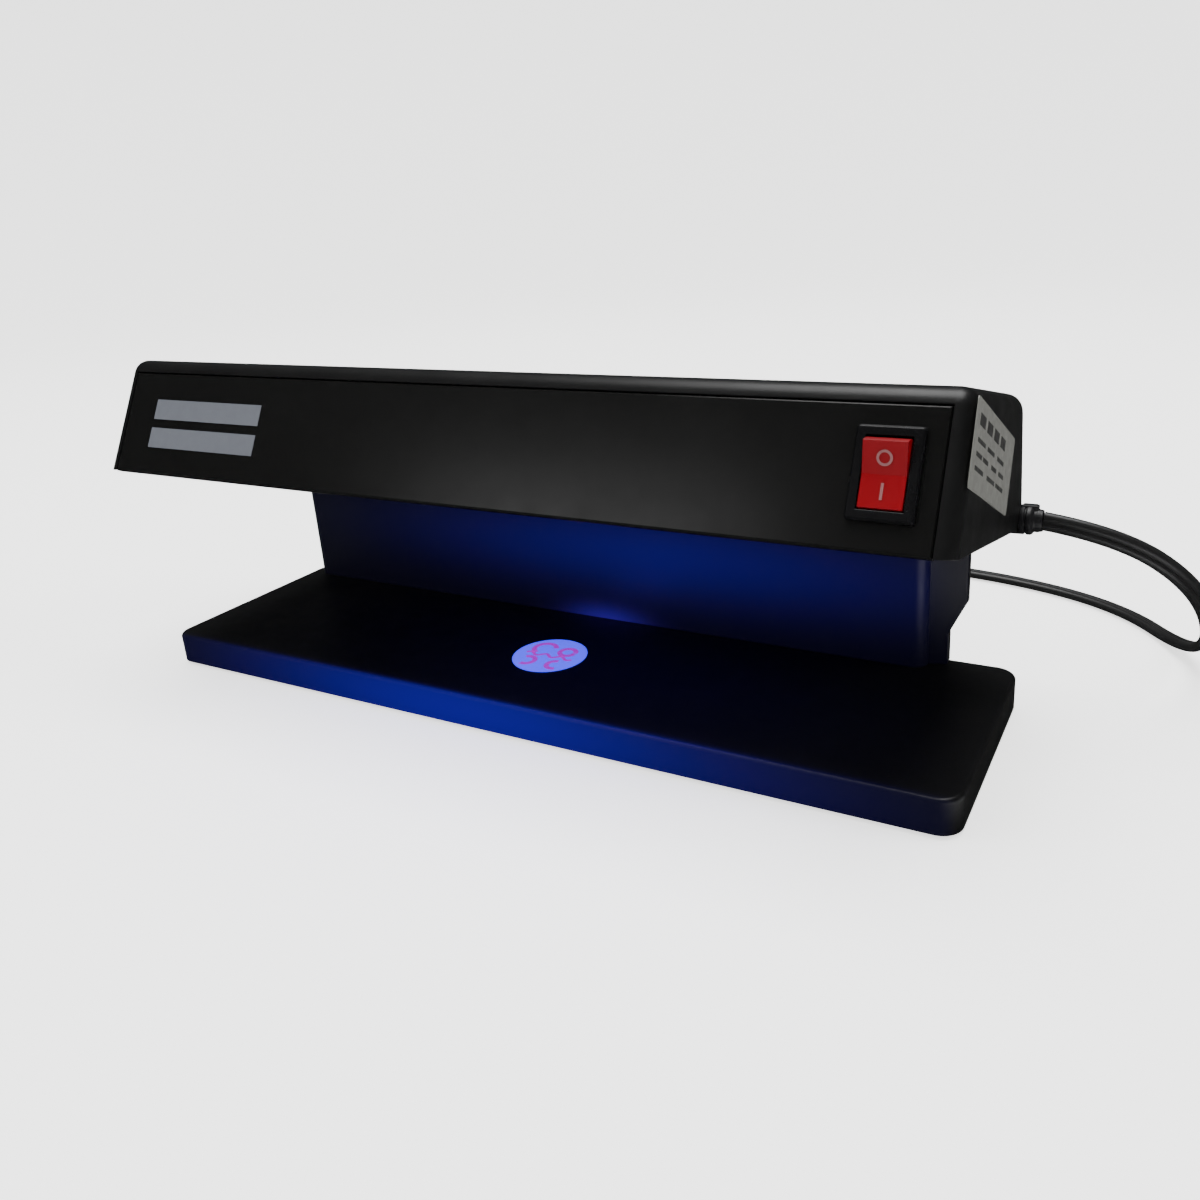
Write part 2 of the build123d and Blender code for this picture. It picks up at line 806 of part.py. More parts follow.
for side, place in ((-1, "left"), (1, "right")):
    face_x = side * (tube_face + turn_gap)
    out = (side, 0, 0)
    end_plane = Plane(
        origin=in_tray(face_x, lamp_back, lamp_up), x_dir=tuple(tray_plane.y_dir), z_dir=out
    )
    # On either side the plane's own y is along the tray's normal, up or down.
    up = side
    with BuildPart() as holder:
        body_low = lamp_up - tray_top
        with BuildSketch(end_plane):
            with Locations((0, up * (holder_high - body_low) / 2)):
                RectangleRounded(holder_wide, holder_high + body_low, 3.0)
        extrude(amount=holder_thick)
        with BuildSketch(end_plane):
            Circle(rotor_radius + turn_gap)
            with Locations((0, -up * 8.0)):
                Rectangle(3.2, 16.0)
        extrude(amount=rotor_thick + 2 * turn_gap + 0.6, mode=Mode.SUBTRACT)
        with BuildSketch(end_plane.offset(holder_thick)):
            with Locations((0, -up * (body_low - holder_foot_thick / 2))):
                Rectangle(holder_wide - 4, holder_foot_thick)
        extrude(amount=holder_foot)
        with BuildSketch(tray_plane.offset(tray_top)):
            with Locations((side * foot_x, lamp_back)):
                Circle(pin_screw_radius)
        extrude(amount=holder_foot_thick + 1, mode=Mode.SUBTRACT)
    holder.part.label = f"lamp_holder_{place}"
    export_step(holder.part, f"parts/lamp_holder_{place}.step")

    with BuildPart() as rotor:
        with BuildSketch(end_plane.offset(turn_gap)):
            Circle(rotor_radius)
            with Locations((-pin_spacing / 2, 0), (pin_spacing / 2, 0)):
                Circle(pin_radius, mode=Mode.SUBTRACT)
        extrude(amount=rotor_thick)
    rotor.part.label = f"holder_rotor_{place}"
    export_step(rotor.part, f"parts/holder_rotor_{place}.step")

    cap_plane = end_plane.offset(-turn_gap)
    with BuildPart() as cap:
        with BuildSketch(cap_plane):
            Circle(cap_radius)
        extrude(amount=-cap_long)
        fillet(cap.edges().sort_by(Axis.X)[-1 if side > 0 else 0], 0.8)
        with BuildSketch(cap_plane.offset(-1.0)):
            Circle(tube_radius)
        extrude(amount=-cap_long, mode=Mode.SUBTRACT)
        with BuildSketch(cap_plane):
            with Locations((-pin_spacing / 2, 0), (pin_spacing / 2, 0)):
                Circle(pin_radius)
        extrude(amount=-1.0, mode=Mode.SUBTRACT)
    cap.part.label = f"tube_cap_{place}"
    export_step(cap.part, f"parts/tube_cap_{place}.step")

pan_screws(
    "holder_screws",
    [in_tray(x * foot_x, lamp_back, tray_top + holder_foot_thick) for x in (-1, 1)],
    tray_down,
    holder_foot_thick + tray_thick,
    pin_head_radius,
    pin_head_high,
    pin_screw_radius,
)

with BuildPart() as uv_tube:
    tube_half = tube_face - 1.0
    tube_plane = Plane(origin=in_tray(-tube_half, lamp_back, lamp_up), z_dir=(1, 0, 0))
    with BuildSketch(tube_plane):
        Circle(tube_radius)
    extrude(amount=2 * tube_half)
    fillet(uv_tube.edges(), 2.5)
uv_tube.part.label = "uv_tube"
export_step(uv_tube.part, "parts/uv_tube.step")

with BuildPart() as tube_pins:
    for side in (-1, 1):
        root = in_tray(side * (tube_face - 1.0), lamp_back, lamp_up)
        pin_plane = Plane(origin=root, x_dir=tuple(tray_plane.y_dir), z_dir=(side, 0, 0))
        with BuildSketch(pin_plane):
            with Locations((-pin_spacing / 2, 0), (pin_spacing / 2, 0)):
                Circle(pin_radius)
        extrude(amount=pin_long + 1.0)
tube_pins.part.label = "tube_pins"
export_step(tube_pins.part, "parts/tube_pins.step")

# ======== Ballast ========

board_top = board_up + board_thick
with BuildPart() as ballast_board:
    with BuildSketch(tray_plane.offset(board_up)):
        with Locations((board_x, board_back)):
            Rectangle(board_long, board_wide)
        with Locations(*board_posts):
            Circle(pin_screw_radius, mode=Mode.SUBTRACT)
    extrude(amount=board_thick)
ballast_board.part.label = "ballast_board"
export_step(ballast_board.part, "parts/ballast_board.step")

pan_screws(
    "board_screws",
    [in_tray(x, back, board_top) for x, back in board_posts],
    tray_down,
    board_thick + 5.0,
    pin_head_radius,
    pin_head_high,
    pin_screw_radius,
)

choke_x = board_x + choke_shift
with BuildPart() as choke_core:
    with BuildSketch(tray_plane.offset(board_top)):
        with Locations((choke_x, board_back)):
            Rectangle(choke_long, choke_wide)
    extrude(amount=choke_high)
    with BuildSketch(tray_plane.offset(board_top + choke_cheek)):
        with Locations((choke_x, board_back)):
            Rectangle(choke_slot, choke_wide + gap)
            Rectangle(choke_leg, choke_leg, mode=Mode.SUBTRACT)
    extrude(amount=choke_high - 2 * choke_cheek, mode=Mode.SUBTRACT)
choke_core.part.label = "choke_core"
export_step(choke_core.part, "parts/choke_core.step")

with BuildPart() as choke_winding:
    with BuildSketch(tray_plane.offset(board_top + choke_cheek + gap)):
        with Locations((choke_x, board_back)):
            RectangleRounded(winding_long, winding_wide, 2.0)
            Rectangle(choke_leg + gap, choke_leg + gap, mode=Mode.SUBTRACT)
    extrude(amount=choke_high - 2 * choke_cheek - 2 * gap)
choke_winding.part.label = "choke_winding"
export_step(choke_winding.part, "parts/choke_winding.step")

with BuildPart() as smoothing_capacitor:
    with BuildSketch(tray_plane.offset(board_top)):
        with Locations((board_x + can_shift, board_back)):
            Circle(can_radius)
    extrude(amount=can_high)
    fillet(smoothing_capacitor.edges(), 0.6)
smoothing_capacitor.part.label = "smoothing_capacitor"
export_step(smoothing_capacitor.part, "parts/smoothing_capacitor.step")

with BuildPart() as film_capacitors:
    with BuildSketch(tray_plane.offset(board_top)):
        with Locations((board_x - film_shift, board_back + 3), (board_x + film_shift, board_back - 3)):
            RectangleRounded(film_long, film_thick, 0.8)
    extrude(amount=film_high)
film_capacitors.part.label = "film_capacitors"
export_step(film_capacitors.part, "parts/film_capacitors.step")

transistor_x = board_x + transistor_shift
with BuildPart() as transistors:
    with BuildSketch(tray_plane.offset(board_top)):
        with Locations(
            (transistor_x, board_back - transistor_apart / 2),
            (transistor_x, board_back + transistor_apart / 2),
        ):
            Rectangle(transistor_wide, transistor_thick)
    extrude(amount=transistor_high)
transistors.part.label = "transistors"
export_step(transistors.part, "parts/transistors.step")

with BuildPart() as fuse_resistor:
    resistor_up = board_top + resistor_radius + 0.1
    body_start = in_tray(board_x + resistor_shift, board_back + resistor_back, resistor_up)
    with BuildSketch(Plane(origin=body_start, z_dir=(1, 0, 0))):
        Circle(resistor_radius)
    extrude(amount=resistor_long)
fuse_resistor.part.label = "fuse_resistor"
export_step(fuse_resistor.part, "parts/fuse_resistor.step")

# ======== Rocker switch ========

with BuildPart() as switch_body:
    with BuildSketch(panel_plane):
        with Locations((switch_x, switch_up)):
            RectangleRounded(bezel_wide, bezel_high, 0.8)
    extrude(amount=bezel_proud)
    top_face = switch_body.faces().sort_by(Axis(lip, panel_out))[-1]
    chamfer(top_face.edges(), 0.5)
    with BuildSketch(panel_plane):
        with Locations((switch_x, switch_up)):
            Rectangle(switch_wide, switch_high)
    extrude(amount=-switch_deep)
    with BuildSketch(panel_plane.offset(bezel_proud)):
        with Locations((switch_x, switch_up)):
            Rectangle(well_wide, well_high)
    extrude(amount=-(bezel_proud + well_deep), mode=Mode.SUBTRACT)
    pivot = on_panel(switch_x, switch_up, rocker_pivot)
    pivot_plane = Plane(origin=pivot, z_dir=(1, 0, 0))
    with BuildSketch(pivot_plane.offset(-well_wide / 2 - trunnion_long)):
        Circle(trunnion_radius + trunnion_gap)
    extrude(amount=well_wide + 2 * trunnion_long, mode=Mode.SUBTRACT)
switch_body.part.label = "switch_body"
export_step(switch_body.part, "parts/switch_body.step")

# The rocker is drawn level and then stands tipped: its lower half is pressed in, lamp on.
rocker_tip = panel_angle + radians(rocker_throw)
rocker_section = side_plane((pivot.Y, pivot.Z), rocker_tip, switch_x)
end_x = rocker_radius * cos(radians(rocker_corner))
end_y = rocker_radius * sin(radians(rocker_corner))
mid_y = end_y - end_x * tan(radians(rocker_throw))
low_x = rocker_radius * cos(radians(rocker_shoulder))
low_y = -rocker_radius * sin(radians(rocker_shoulder))

with BuildPart() as rocker:
    with BuildSketch(rocker_section.offset(-rocker_wide / 2)):
        with BuildLine():
            Polyline((-end_x, end_y), (0, mid_y), (end_x, end_y))
            RadiusArc((end_x, end_y), (low_x, low_y), rocker_radius)
            under = -rocker_under
            Polyline((low_x, low_y), (rocker_heel, under), (-rocker_heel, under), (-low_x, low_y))
            RadiusArc((-low_x, low_y), (-end_x, end_y), rocker_radius)
        make_face()
    extrude(amount=rocker_wide)
    trunnion_end = well_wide / 2 + trunnion_long - trunnion_end_gap
    with BuildSketch(pivot_plane.offset(-trunnion_end)):
        Circle(trunnion_radius)
    extrude(amount=2 * trunnion_end)
rocker.part.label = "rocker"
export_step(rocker.part, "parts/rocker.step")


def rocker_face(side):
    """The plane of the rocker's upper (+1) or lower (-1) half, centred half way along it."""
    middle = rocker_section.from_local_coords((side * end_x / 2, (mid_y + end_y) / 2, 0))
    tilt = rocker_tip + side * radians(rocker_throw)
    return Plane(origin=middle, x_dir=(1, 0, 0), z_dir=(0, -sin(tilt), cos(tilt)))


with BuildPart() as rocker_marks:
    with BuildSketch(rocker_face(1)):
        Circle(ring_outer)
        Circle(ring_inner, mode=Mode.SUBTRACT)
    extrude(amount=mark_thick)
    with BuildSketch(rocker_face(-1)):
        Rectangle(bar_mark_wide, bar_mark_high)
    extrude(amount=mark_thick)
rocker_marks.part.label = "rocker_marks"
export_step(rocker_marks.part, "parts/rocker_marks.step")

with BuildPart() as switch_terminals:
    with BuildSketch(panel_plane.offset(-switch_deep)):
        with Locations(
            (switch_x, switch_up - terminal_apart / 2), (switch_x, switch_up + terminal_apart / 2)
        ):
            Rectangle(terminal_wide, terminal_thick)
    extrude(amount=-terminal_long)
switch_terminals.part.label = "switch_terminals"
export_step(switch_terminals.part, "parts/switch_terminals.step")

# ======== Inner wires ========

wire_up = board_top + wire_radius
board_left = board_x - board_long / 2
board_right = board_x + board_long / 2
for side, place, edge in ((-1, "left", board_left), (1, "right", board_right)):
    for number, shift in ((1, 0.0), (2, 2.8)):
        holder_x = side * (tube_face + turn_gap + holder_thick + wire_radius)
        start = in_tray(edge - side * 0.5, board_back - 9 + 1.5 * shift, wire_up)
        bend = in_tray(side * (window_half + 12), board_back - 11 + shift, wire_up + shift)
        turn = in_tray(side * (window_half + 9), lamp_back + 15 + shift, lamp_up - 4 + shift)
        stop = in_tray(holder_x, lamp_back + 2, lamp_up - 4 + 2 * shift)
        lead(f"lamp_wire_{place}_{number}", [start, bend, turn, stop], [5.0, 3.0], wire_radius)

terminal_out = -switch_deep - terminal_long - 1.2 * wire_radius
gland_inner_x = half_hood - wall - gland_inner_long - 0.6
live_points = [
    (gland_inner_x, gland_y - 1.3, gland_z),
    (gland_inner_x - 7, gland_y - 6, gland_z + 6),
    in_tray(switch_x - 6, 50, 11.0),
    in_tray(switch_x - 2, 36, 12.0),
    on_panel(switch_x, switch_up - terminal_apart / 2, terminal_out),
]
lead("live_wire", live_points, [4.0, 6.0, 6.0], wire_radius)
neutral_points = [
    (gland_inner_x, gland_y + 1.3, gland_z),
    (gland_inner_x - 8, gland_y - 3, gland_z + 8),
    in_tray(boss_out - 14, board_back + 6, 14.0),
    in_tray(board_right - 0.5, board_back + 8, wire_up),
]
lead("neutral_wire", neutral_points, [4.0, 6.0], wire_radius)
switched_points = [
    on_panel(switch_x, switch_up + terminal_apart / 2, terminal_out),
    in_tray(switch_x - 5, 40, 20.0),
    in_tray(boss_out - 12, 49, 20.0),
    in_tray(board_right + 12, board_back + 2, 14.0),
    in_tray(board_right - 0.5, board_back + 2, wire_up),
]
lead("switched_wire", switched_points, [6.0, 8.0, 6.0], wire_radius)

# ======== Strain relief, mains lead and plug ========

flange_x = half_hood + gland_flange_thick
gland_face_x = flange_x + gland_collar_long
with BuildPart() as strain_relief:
    with BuildSketch(Plane.YZ.offset(half_hood)):
        with Locations((gland_y, gland_z)):
            Circle(gland_flange)
    extrude(amount=gland_flange_thick)
    fillet(strain_relief.edges().group_by(Axis.X)[-1], 0.8)
    with BuildSketch(Plane.YZ.offset(flange_x)):
        with Locations((gland_y, gland_z)):
            Circle(gland_collar)
    extrude(amount=gland_collar_long, taper=8)
    with BuildSketch(Plane.YZ.offset(flange_x)):
        with Locations((gland_y, gland_z + gland_flange - 0.6)):
            Rectangle(2.4, 1.8)
    extrude(amount=1.6)
    with BuildSketch(Plane.YZ.offset(half_hood)):
        with Locations((gland_y, gland_z)):
            Circle(gland_radius)
    extrude(amount=-(wall + gland_inner_long - 2))
    with BuildSketch(Plane.YZ.offset(half_hood - wall - gland_inner_long + 2)):
        with Locations((gland_y, gland_z)):
            Circle(gland_radius)
    extrude(amount=-2.0, taper=20)
strain_relief.part.label = "strain_relief"
export_step(strain_relief.part, "parts/strain_relief.step")

# The route that the lead takes: out to the right, down to the table, round behind the housing
# and into a coil that is put away there.
floor_z = cord_radius + 0.1
coil_entry_x = coil_x + 4.0
coil_entry_y = coil_y + coil_mid + coil_wide / 2 - cord_radius
cord_points = [
    (gland_face_x, gland_y, gland_z),
    (gland_face_x + 19.0, gland_y + 0.6, gland_z - 2.4),
    (gland_face_x + 38.0, gland_y + 9.0, gland_z - 17.0),
    (gland_face_x + 44.0, gland_y + 30.0, gland_z - 40.0),
    (gland_face_x + 38.0, gland_y + 58.0, floor_z),
    (gland_face_x + 16.0, gland_y + 88.0, floor_z),
    (gland_face_x - 22.0, gland_y + 104.0, floor_z),
    (coil_entry_x + 36.0, coil_entry_y + 1.5, floor_z),
    (coil_entry_x, coil_entry_y, floor_z),
]


def corner_radii(points, share=0.45):
    """Each corner's arc: a share of the shorter run, over the tangent of half the turn."""
    radii = []
    for before, here, after in zip(points, points[1:], points[2:]):
        run_in = Vector(*here) - Vector(*before)
        run_out = Vector(*after) - Vector(*here)
        half_turn = radians(run_in.get_angle(run_out) / 2)
        radii.append(share * min(run_in.length, run_out.length) / tan(half_turn))
    return radii


cord_arcs = corner_radii(cord_points)
print("cord arcs", [round(r, 1) for r in cord_arcs])
lead("power_cord", cord_points, cord_arcs, cord_radius)

with BuildPart() as cord_coil:
    with BuildSketch(Plane.XY):
        with Locations((coil_x, coil_y)):
            Circle(coil_mid + coil_wide / 2)
            Circle(coil_mid - coil_wide / 2, mode=Mode.SUBTRACT)
    extrude(amount=coil_high)
    fillet(cord_coil.edges(), 1.5)
cord_coil.part.label = "cord_coil"
export_step(cord_coil.part, "parts/cord_coil.step")

# The far end leaves the coil straight, to the right, and ends in a flat two-pin plug.
tail_y = coil_y - coil_mid - coil_wide / 2 + cord_radius
plug_rear_x = coil_x + tail_long
plug_x = plug_rear_x + plug_long
plug_y = tail_y - 1.0
plug_z = plug_thick / 2
tail_points = [
    (coil_x, tail_y, floor_z + 1.0),
    (coil_x + tail_long / 2, tail_y - 0.8, floor_z + 1.8),
    (plug_rear_x, plug_y, plug_z),
]
lead("cord_tail", tail_points, [20.0], cord_radius)
print(f"coil holds {2 * pi * coil_mid * coil_turns:.0f}")

with BuildPart() as plug_body:
    with BuildSketch(Plane.YZ.offset(plug_rear_x)):
        with Locations((plug_y, plug_z)):
            Circle(plug_neck_radius)
    with BuildSketch(Plane.YZ.offset(plug_rear_x + plug_neck_long)):
        with Locations((plug_y, plug_z)):
            RectangleRounded(plug_neck_wide, plug_neck_thick, plug_neck_round)
    loft()
    with BuildSketch(Plane.YZ.offset(plug_rear_x + plug_neck_long)):
        with Locations((plug_y, plug_z)):
            RectangleRounded(plug_neck_wide, plug_neck_thick, plug_neck_round)
    with BuildSketch(Plane.YZ.offset(plug_x)):
        with Locations((plug_y, plug_z)):
            RectangleRounded(plug_wide, plug_thick, plug_round)
    loft()
plug_body.part.label = "plug_body"
export_step(plug_body.part, "parts/plug_body.step")

with BuildPart() as plug_pins:
    with BuildSketch(Plane.YZ.offset(plug_x)):
        with Locations(
            (plug_y - plug_pin_spacing / 2, plug_z),
            (plug_y + plug_pin_spacing / 2, plug_z),
        ):
            Circle(plug_pin_radius)
    extrude(amount=plug_pin_long)
    fillet(plug_pins.edges().group_by(Axis.X)[-1], 1.2)
plug_pins.part.label = "plug_pins"
export_step(plug_pins.part, "parts/plug_pins.step")
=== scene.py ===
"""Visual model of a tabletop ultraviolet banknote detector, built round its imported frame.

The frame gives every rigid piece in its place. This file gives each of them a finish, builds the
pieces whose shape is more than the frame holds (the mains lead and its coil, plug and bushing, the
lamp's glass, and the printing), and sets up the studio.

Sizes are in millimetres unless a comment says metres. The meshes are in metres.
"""

import logging
import math
from dataclasses import dataclass, field
from enum import Enum
from typing import Callable, Iterable, Sequence

import bmesh
import bpy
import numpy as np
from mathutils import Euler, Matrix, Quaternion, Vector


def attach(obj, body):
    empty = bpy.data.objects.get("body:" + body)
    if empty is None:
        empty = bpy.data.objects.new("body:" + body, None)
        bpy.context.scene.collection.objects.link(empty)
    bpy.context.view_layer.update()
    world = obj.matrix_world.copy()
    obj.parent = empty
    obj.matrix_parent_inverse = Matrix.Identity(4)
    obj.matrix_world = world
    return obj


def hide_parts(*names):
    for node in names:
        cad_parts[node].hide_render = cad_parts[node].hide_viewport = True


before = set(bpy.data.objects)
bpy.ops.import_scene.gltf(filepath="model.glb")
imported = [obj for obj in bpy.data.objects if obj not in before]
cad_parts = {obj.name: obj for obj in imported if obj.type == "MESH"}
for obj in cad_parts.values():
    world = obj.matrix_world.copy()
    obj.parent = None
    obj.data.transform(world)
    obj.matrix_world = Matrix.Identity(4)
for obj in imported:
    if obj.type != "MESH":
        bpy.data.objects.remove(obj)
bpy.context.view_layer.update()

MM = 0.001
HOUSING = "housing"
LAMP = "lamp"

log = logging.getLogger("banknote_detector")

Colour = tuple[float, float, float]
Point = tuple[float, float, float]


# ======== Node graphs and finishes ========


class Graph:
    """A thin hand for building one material's node graph."""

    def __init__(self, name: str) -> None:
        """Starts an empty material that ends in a Principled shader."""
        self.material = bpy.data.materials.new(f"{name}_finish")
        self.material.use_nodes = True
        self.tree = self.material.node_tree
        self.shader = self.tree.nodes["Principled BSDF"]

    def add(self, kind: str, settings: dict | None = None, **inputs: object) -> bpy.types.Node:
        """Adds a node.

        Args:
            kind: the node's type, without the leading "ShaderNode".
            settings: attributes of the node itself.
            inputs: values or output sockets for its inputs, by name with _ for a space.

        Returns:
            The new node.
        """
        node = self.tree.nodes.new("ShaderNode" + kind)
        for key, value in (settings or {}).items():
            setattr(node, key, value)
        for key, value in inputs.items():
            self.join(node.inputs[key.replace("_", " ")], value)
        return node

    def join(self, socket: bpy.types.NodeSocket, value: object) -> None:
        """Links an output socket to an input, or sets the input's own value."""
        if isinstance(value, bpy.types.NodeSocket):
            self.tree.links.new(value, socket)
        else:
            socket.default_value = value

    def math(self, operation: str, first: object, second: object = 0.0) -> bpy.types.NodeSocket:
        """The output of one Math node on two numbers or sockets."""
        node = self.add("Math", {"operation": operation})
        self.join(node.inputs[0], first)
        self.join(node.inputs[1], second)
        return node.outputs[0]

    def place(self) -> bpy.types.NodeSocket:
        """Object coordinates, in metres in the shared frame."""
        return self.add("TexCoord").outputs["Object"]

    def noise(self, size: float, detail: float = 3.0, rough: float = 0.55) -> bpy.types.NodeSocket:
        """Noise with features of about the given size in millimetres, from 0 to 1."""
        node = self.add("TexNoise", Vector=self.place(), Scale=1.0 / (size * MM))
        node.inputs["Detail"].default_value = detail
        node.inputs["Roughness"].default_value = rough
        return node.outputs["Fac"]

    def spread(self, value: object, low: float, high: float) -> bpy.types.NodeSocket:
        """Maps 0.3 to 0.7, where noise mostly lies, onto low to high."""
        node = self.add("MapRange")
        self.join(node.inputs["Value"], value)
        node.inputs["From Min"].default_value = 0.3
        node.inputs["From Max"].default_value = 0.7
        node.inputs["To Min"].default_value = low
        node.inputs["To Max"].default_value = high
        return node.outputs["Result"]

    def blend(self, amount: object, first: object, second: object) -> bpy.types.NodeSocket:
        """Mixes two colours, each a tuple or a socket, by a number or socket."""
        node = self.add("Mix", {"data_type": "RGBA"})
        self.join(node.inputs["Factor"], amount)
        for socket, colour in ((node.inputs[6], first), (node.inputs[7], second)):
            if isinstance(colour, tuple):
                socket.default_value = (*colour, 1.0)
            else:
                self.join(socket, colour)
        return node.outputs[2]

    def bump(self, height: object, depth: float, round_edges: float = 0.0) -> None:
        """Gives the shader a bump of the given depth in millimetres.

        Args:
            height: the height pattern, from 0 to 1.
            depth: millimetres from its lowest to its highest.
            round_edges: radius in millimetres to which sharp edges catch the light as if rounded.
        """
        node = self.add("Bump", Distance=depth * MM)
        self.join(node.inputs["Height"], height)
        if round_edges:
            edge = self.add("Bevel", {"samples": 6}, Radius=round_edges * MM)
            self.join(node.inputs["Normal"], edge.outputs["Normal"])
        self.join(self.shader.inputs["Normal"], node.outputs["Normal"])


@dataclass(frozen=True)
class PaintedGlow:
    """Light of the lamp painted on a surface as emission, strongest at one place and fading round
    it.
    """

    colour: Colour
    strength: float
    centre: Point  # mm, in the shared frame
    reach: Point  # mm along X, Y and Z to where it has fallen to about a third
    floor: float = 0.0  # share of the strength that is left far from the centre


@dataclass(frozen=True)
class Plastic:
    """Moulded plastic: fine grain, slow changes of gloss and shade, softened edges, and painted
    lamp light.
    """

    name: str
    colour: Colour
    roughness: float = 0.4
    specular: float = 0.3
    grain: float = 0.5  # size of the moulded grain, mm
    depth: float = 0.02  # depth of the grain, mm
    edge: float = 0.35  # how round the edges look, mm
    mottle: float = 0.12  # how much the shade drifts
    coat: float = 0.0
    # painted pools of the lamp's light, added to the surface as emission
    painted_glows: tuple[PaintedGlow, ...] = ()

    def build(self) -> bpy.types.Material:
        """The finish as a material."""
        graph = Graph(self.name)
        drift = graph.noise(38.0, 2.0)
        lighter = tuple(min(1.0, c * (1 + self.mottle)) for c in self.colour)
        darker = tuple(c * (1 - self.mottle) for c in self.colour)
        graph.join(graph.shader.inputs["Base Color"], graph.blend(drift, darker, lighter))
        smears = graph.noise(11.0, 4.0, 0.65)
        rough = graph.spread(smears, self.roughness * 0.88, self.roughness * 1.14)
        graph.join(graph.shader.inputs["Roughness"], rough)
        graph.shader.inputs["Specular IOR Level"].default_value = self.specular
        graph.shader.inputs["Coat Weight"].default_value = self.coat
        graph.shader.inputs["Coat Roughness"].default_value = 0.12
        graph.bump(graph.noise(self.grain, 2.0), self.depth, self.edge)
        # Painted lamp light: each glow's bell and colour, summed into the emission.
        if self.painted_glows:
            light = graph.add("VectorMath")
            for glow in self.painted_glows:
                more = graph.add("VectorMath", {"operation": "MULTIPLY_ADD"})
                more.inputs[0].default_value = glow.colour
                graph.join(more.inputs[1], self.bell(graph, glow))
                graph.join(more.inputs[2], light.outputs[0])
                light = more
            graph.join(graph.shader.inputs["Emission Color"], light.outputs[0])
            graph.shader.inputs["Emission Strength"].default_value = 1.0
        return graph.material

    @staticmethod
    def bell(graph: Graph, glow: PaintedGlow) -> bpy.types.NodeSocket:
        """A painted glow's strength at each point of the surface, a bell round its centre.

        Args:
            graph: the graph that the nodes go into.
            glow: the painted glow.

        Returns:
            The strength's socket.
        """
        axes = graph.add("SeparateXYZ")
        graph.join(axes.inputs[0], graph.place())
        total: object = 0.0
        for axis in range(3):
            away = graph.math("SUBTRACT", axes.outputs[axis], glow.centre[axis] * MM)
            share = graph.math("DIVIDE", away, glow.reach[axis] * MM)
            total = graph.math("ADD", total, graph.math("MULTIPLY", share, share))
        bell = graph.math("EXPONENT", graph.math("MULTIPLY", total, -1.0))
        lifted = graph.math("ADD", graph.math("MULTIPLY", bell, 1 - glow.floor), glow.floor)
        return graph.math("MULTIPLY", lifted, glow.strength)


@dataclass(frozen=True)
class Metal:
    """Bare or plated metal with fine scratches."""

    name: str
    colour: Colour
    roughness: float = 0.3
    scratch: float = 0.25  # size of the scratches, mm
    depth: float = 0.008

    def build(self) -> bpy.types.Material:
        """The finish as a material."""
        graph = Graph(self.name)
        graph.shader.inputs["Metallic"].default_value = 1.0
        tarnish = graph.noise(2.5, 3.0)
        dull = tuple(c * 0.72 for c in self.colour)
        graph.join(graph.shader.inputs["Base Color"], graph.blend(tarnish, dull, self.colour))
        rough = graph.spread(graph.noise(0.8, 3.0), self.roughness * 0.75, self.roughness * 1.3)
        graph.join(graph.shader.inputs["Roughness"], rough)
        stretch = graph.add("Mapping", Vector=graph.place())
        stretch.inputs["Scale"].default_value = (1.0, 6.0, 6.0)
        lines = graph.add("TexNoise", Scale=1.0 / (self.scratch * MM))
        graph.join(lines.inputs["Vector"], stretch.outputs[0])
        graph.bump(lines.outputs["Fac"], self.depth, 0.15)
        return graph.material


@dataclass(frozen=True)
class Ink:
    """Printing or film: thin, even, with worn and speckled patches."""

    name: str
    colour: Colour
    worn: Colour
    roughness: float = 0.45
    metallic: float = 0.0
    speck: float = 0.35
    glow: float = 0.0

    def build(self) -> bpy.types.Material:
        """The finish as a material."""
        graph = Graph(self.name)
        wear = graph.spread(graph.noise(self.speck, 5.0, 0.7), 0.0, 0.55)
        tone = graph.blend(wear, self.colour, self.worn)
        graph.join(graph.shader.inputs["Base Color"], tone)
        rough = graph.spread(graph.noise(3.0), self.roughness * 0.85, self.roughness * 1.2)
        graph.join(graph.shader.inputs["Roughness"], rough)
        graph.shader.inputs["Metallic"].default_value = self.metallic
        graph.bump(graph.noise(self.speck * 2, 3.0), 0.01)
        if self.glow:
            graph.join(graph.shader.inputs["Emission Color"], tone)
            graph.shader.inputs["Emission Strength"].default_value = self.glow
        return graph.material


@dataclass(frozen=True)
class BlacklightGlass:
    """Dark violet glass of a lit blacklight tube, brighter along its middle than at its ends."""

    name: str
    half_length: float  # mm from the middle to where the cathodes dim it most
    colour: Colour = (0.10, 0.045, 1.0)
    strength: float = 5.0
    fade: float = 14.0  # mm over which it dims
    end_share: float = 0.12  # share of the strength at its ends

    def build(self) -> bpy.types.Material:
        """The finish as a material."""
        graph = Graph(self.name)
        graph.shader.inputs["Base Color"].default_value = (0.05, 0.02, 0.16, 1.0)
        graph.shader.inputs["Roughness"].default_value = 0.08
        graph.shader.inputs["Coat Weight"].default_value = 0.6
        axes = graph.add("SeparateXYZ")
        graph.join(axes.inputs[0], graph.place())
        along = graph.math("ABSOLUTE", axes.outputs[0])
        fade = graph.add("MapRange", {"interpolation_type": "SMOOTHSTEP"})
        graph.join(fade.inputs["Value"], along)
        fade.inputs["From Min"].default_value = (self.half_length - self.fade) * MM
        fade.inputs["From Max"].default_value = self.half_length * MM
        fade.inputs["To Min"].default_value = 1.0
        fade.inputs["To Max"].default_value = self.end_share
        cloudy = graph.spread(graph.noise(9.0), 0.92, 1.05)
        share = graph.math("MULTIPLY", fade.outputs[0], cloudy)
        glow = graph.math("MULTIPLY", share, self.strength)
        graph.shader.inputs["Emission Color"].default_value = (*self.colour, 1.0)
        graph.join(graph.shader.inputs["Emission Strength"], glow)
        return graph.material


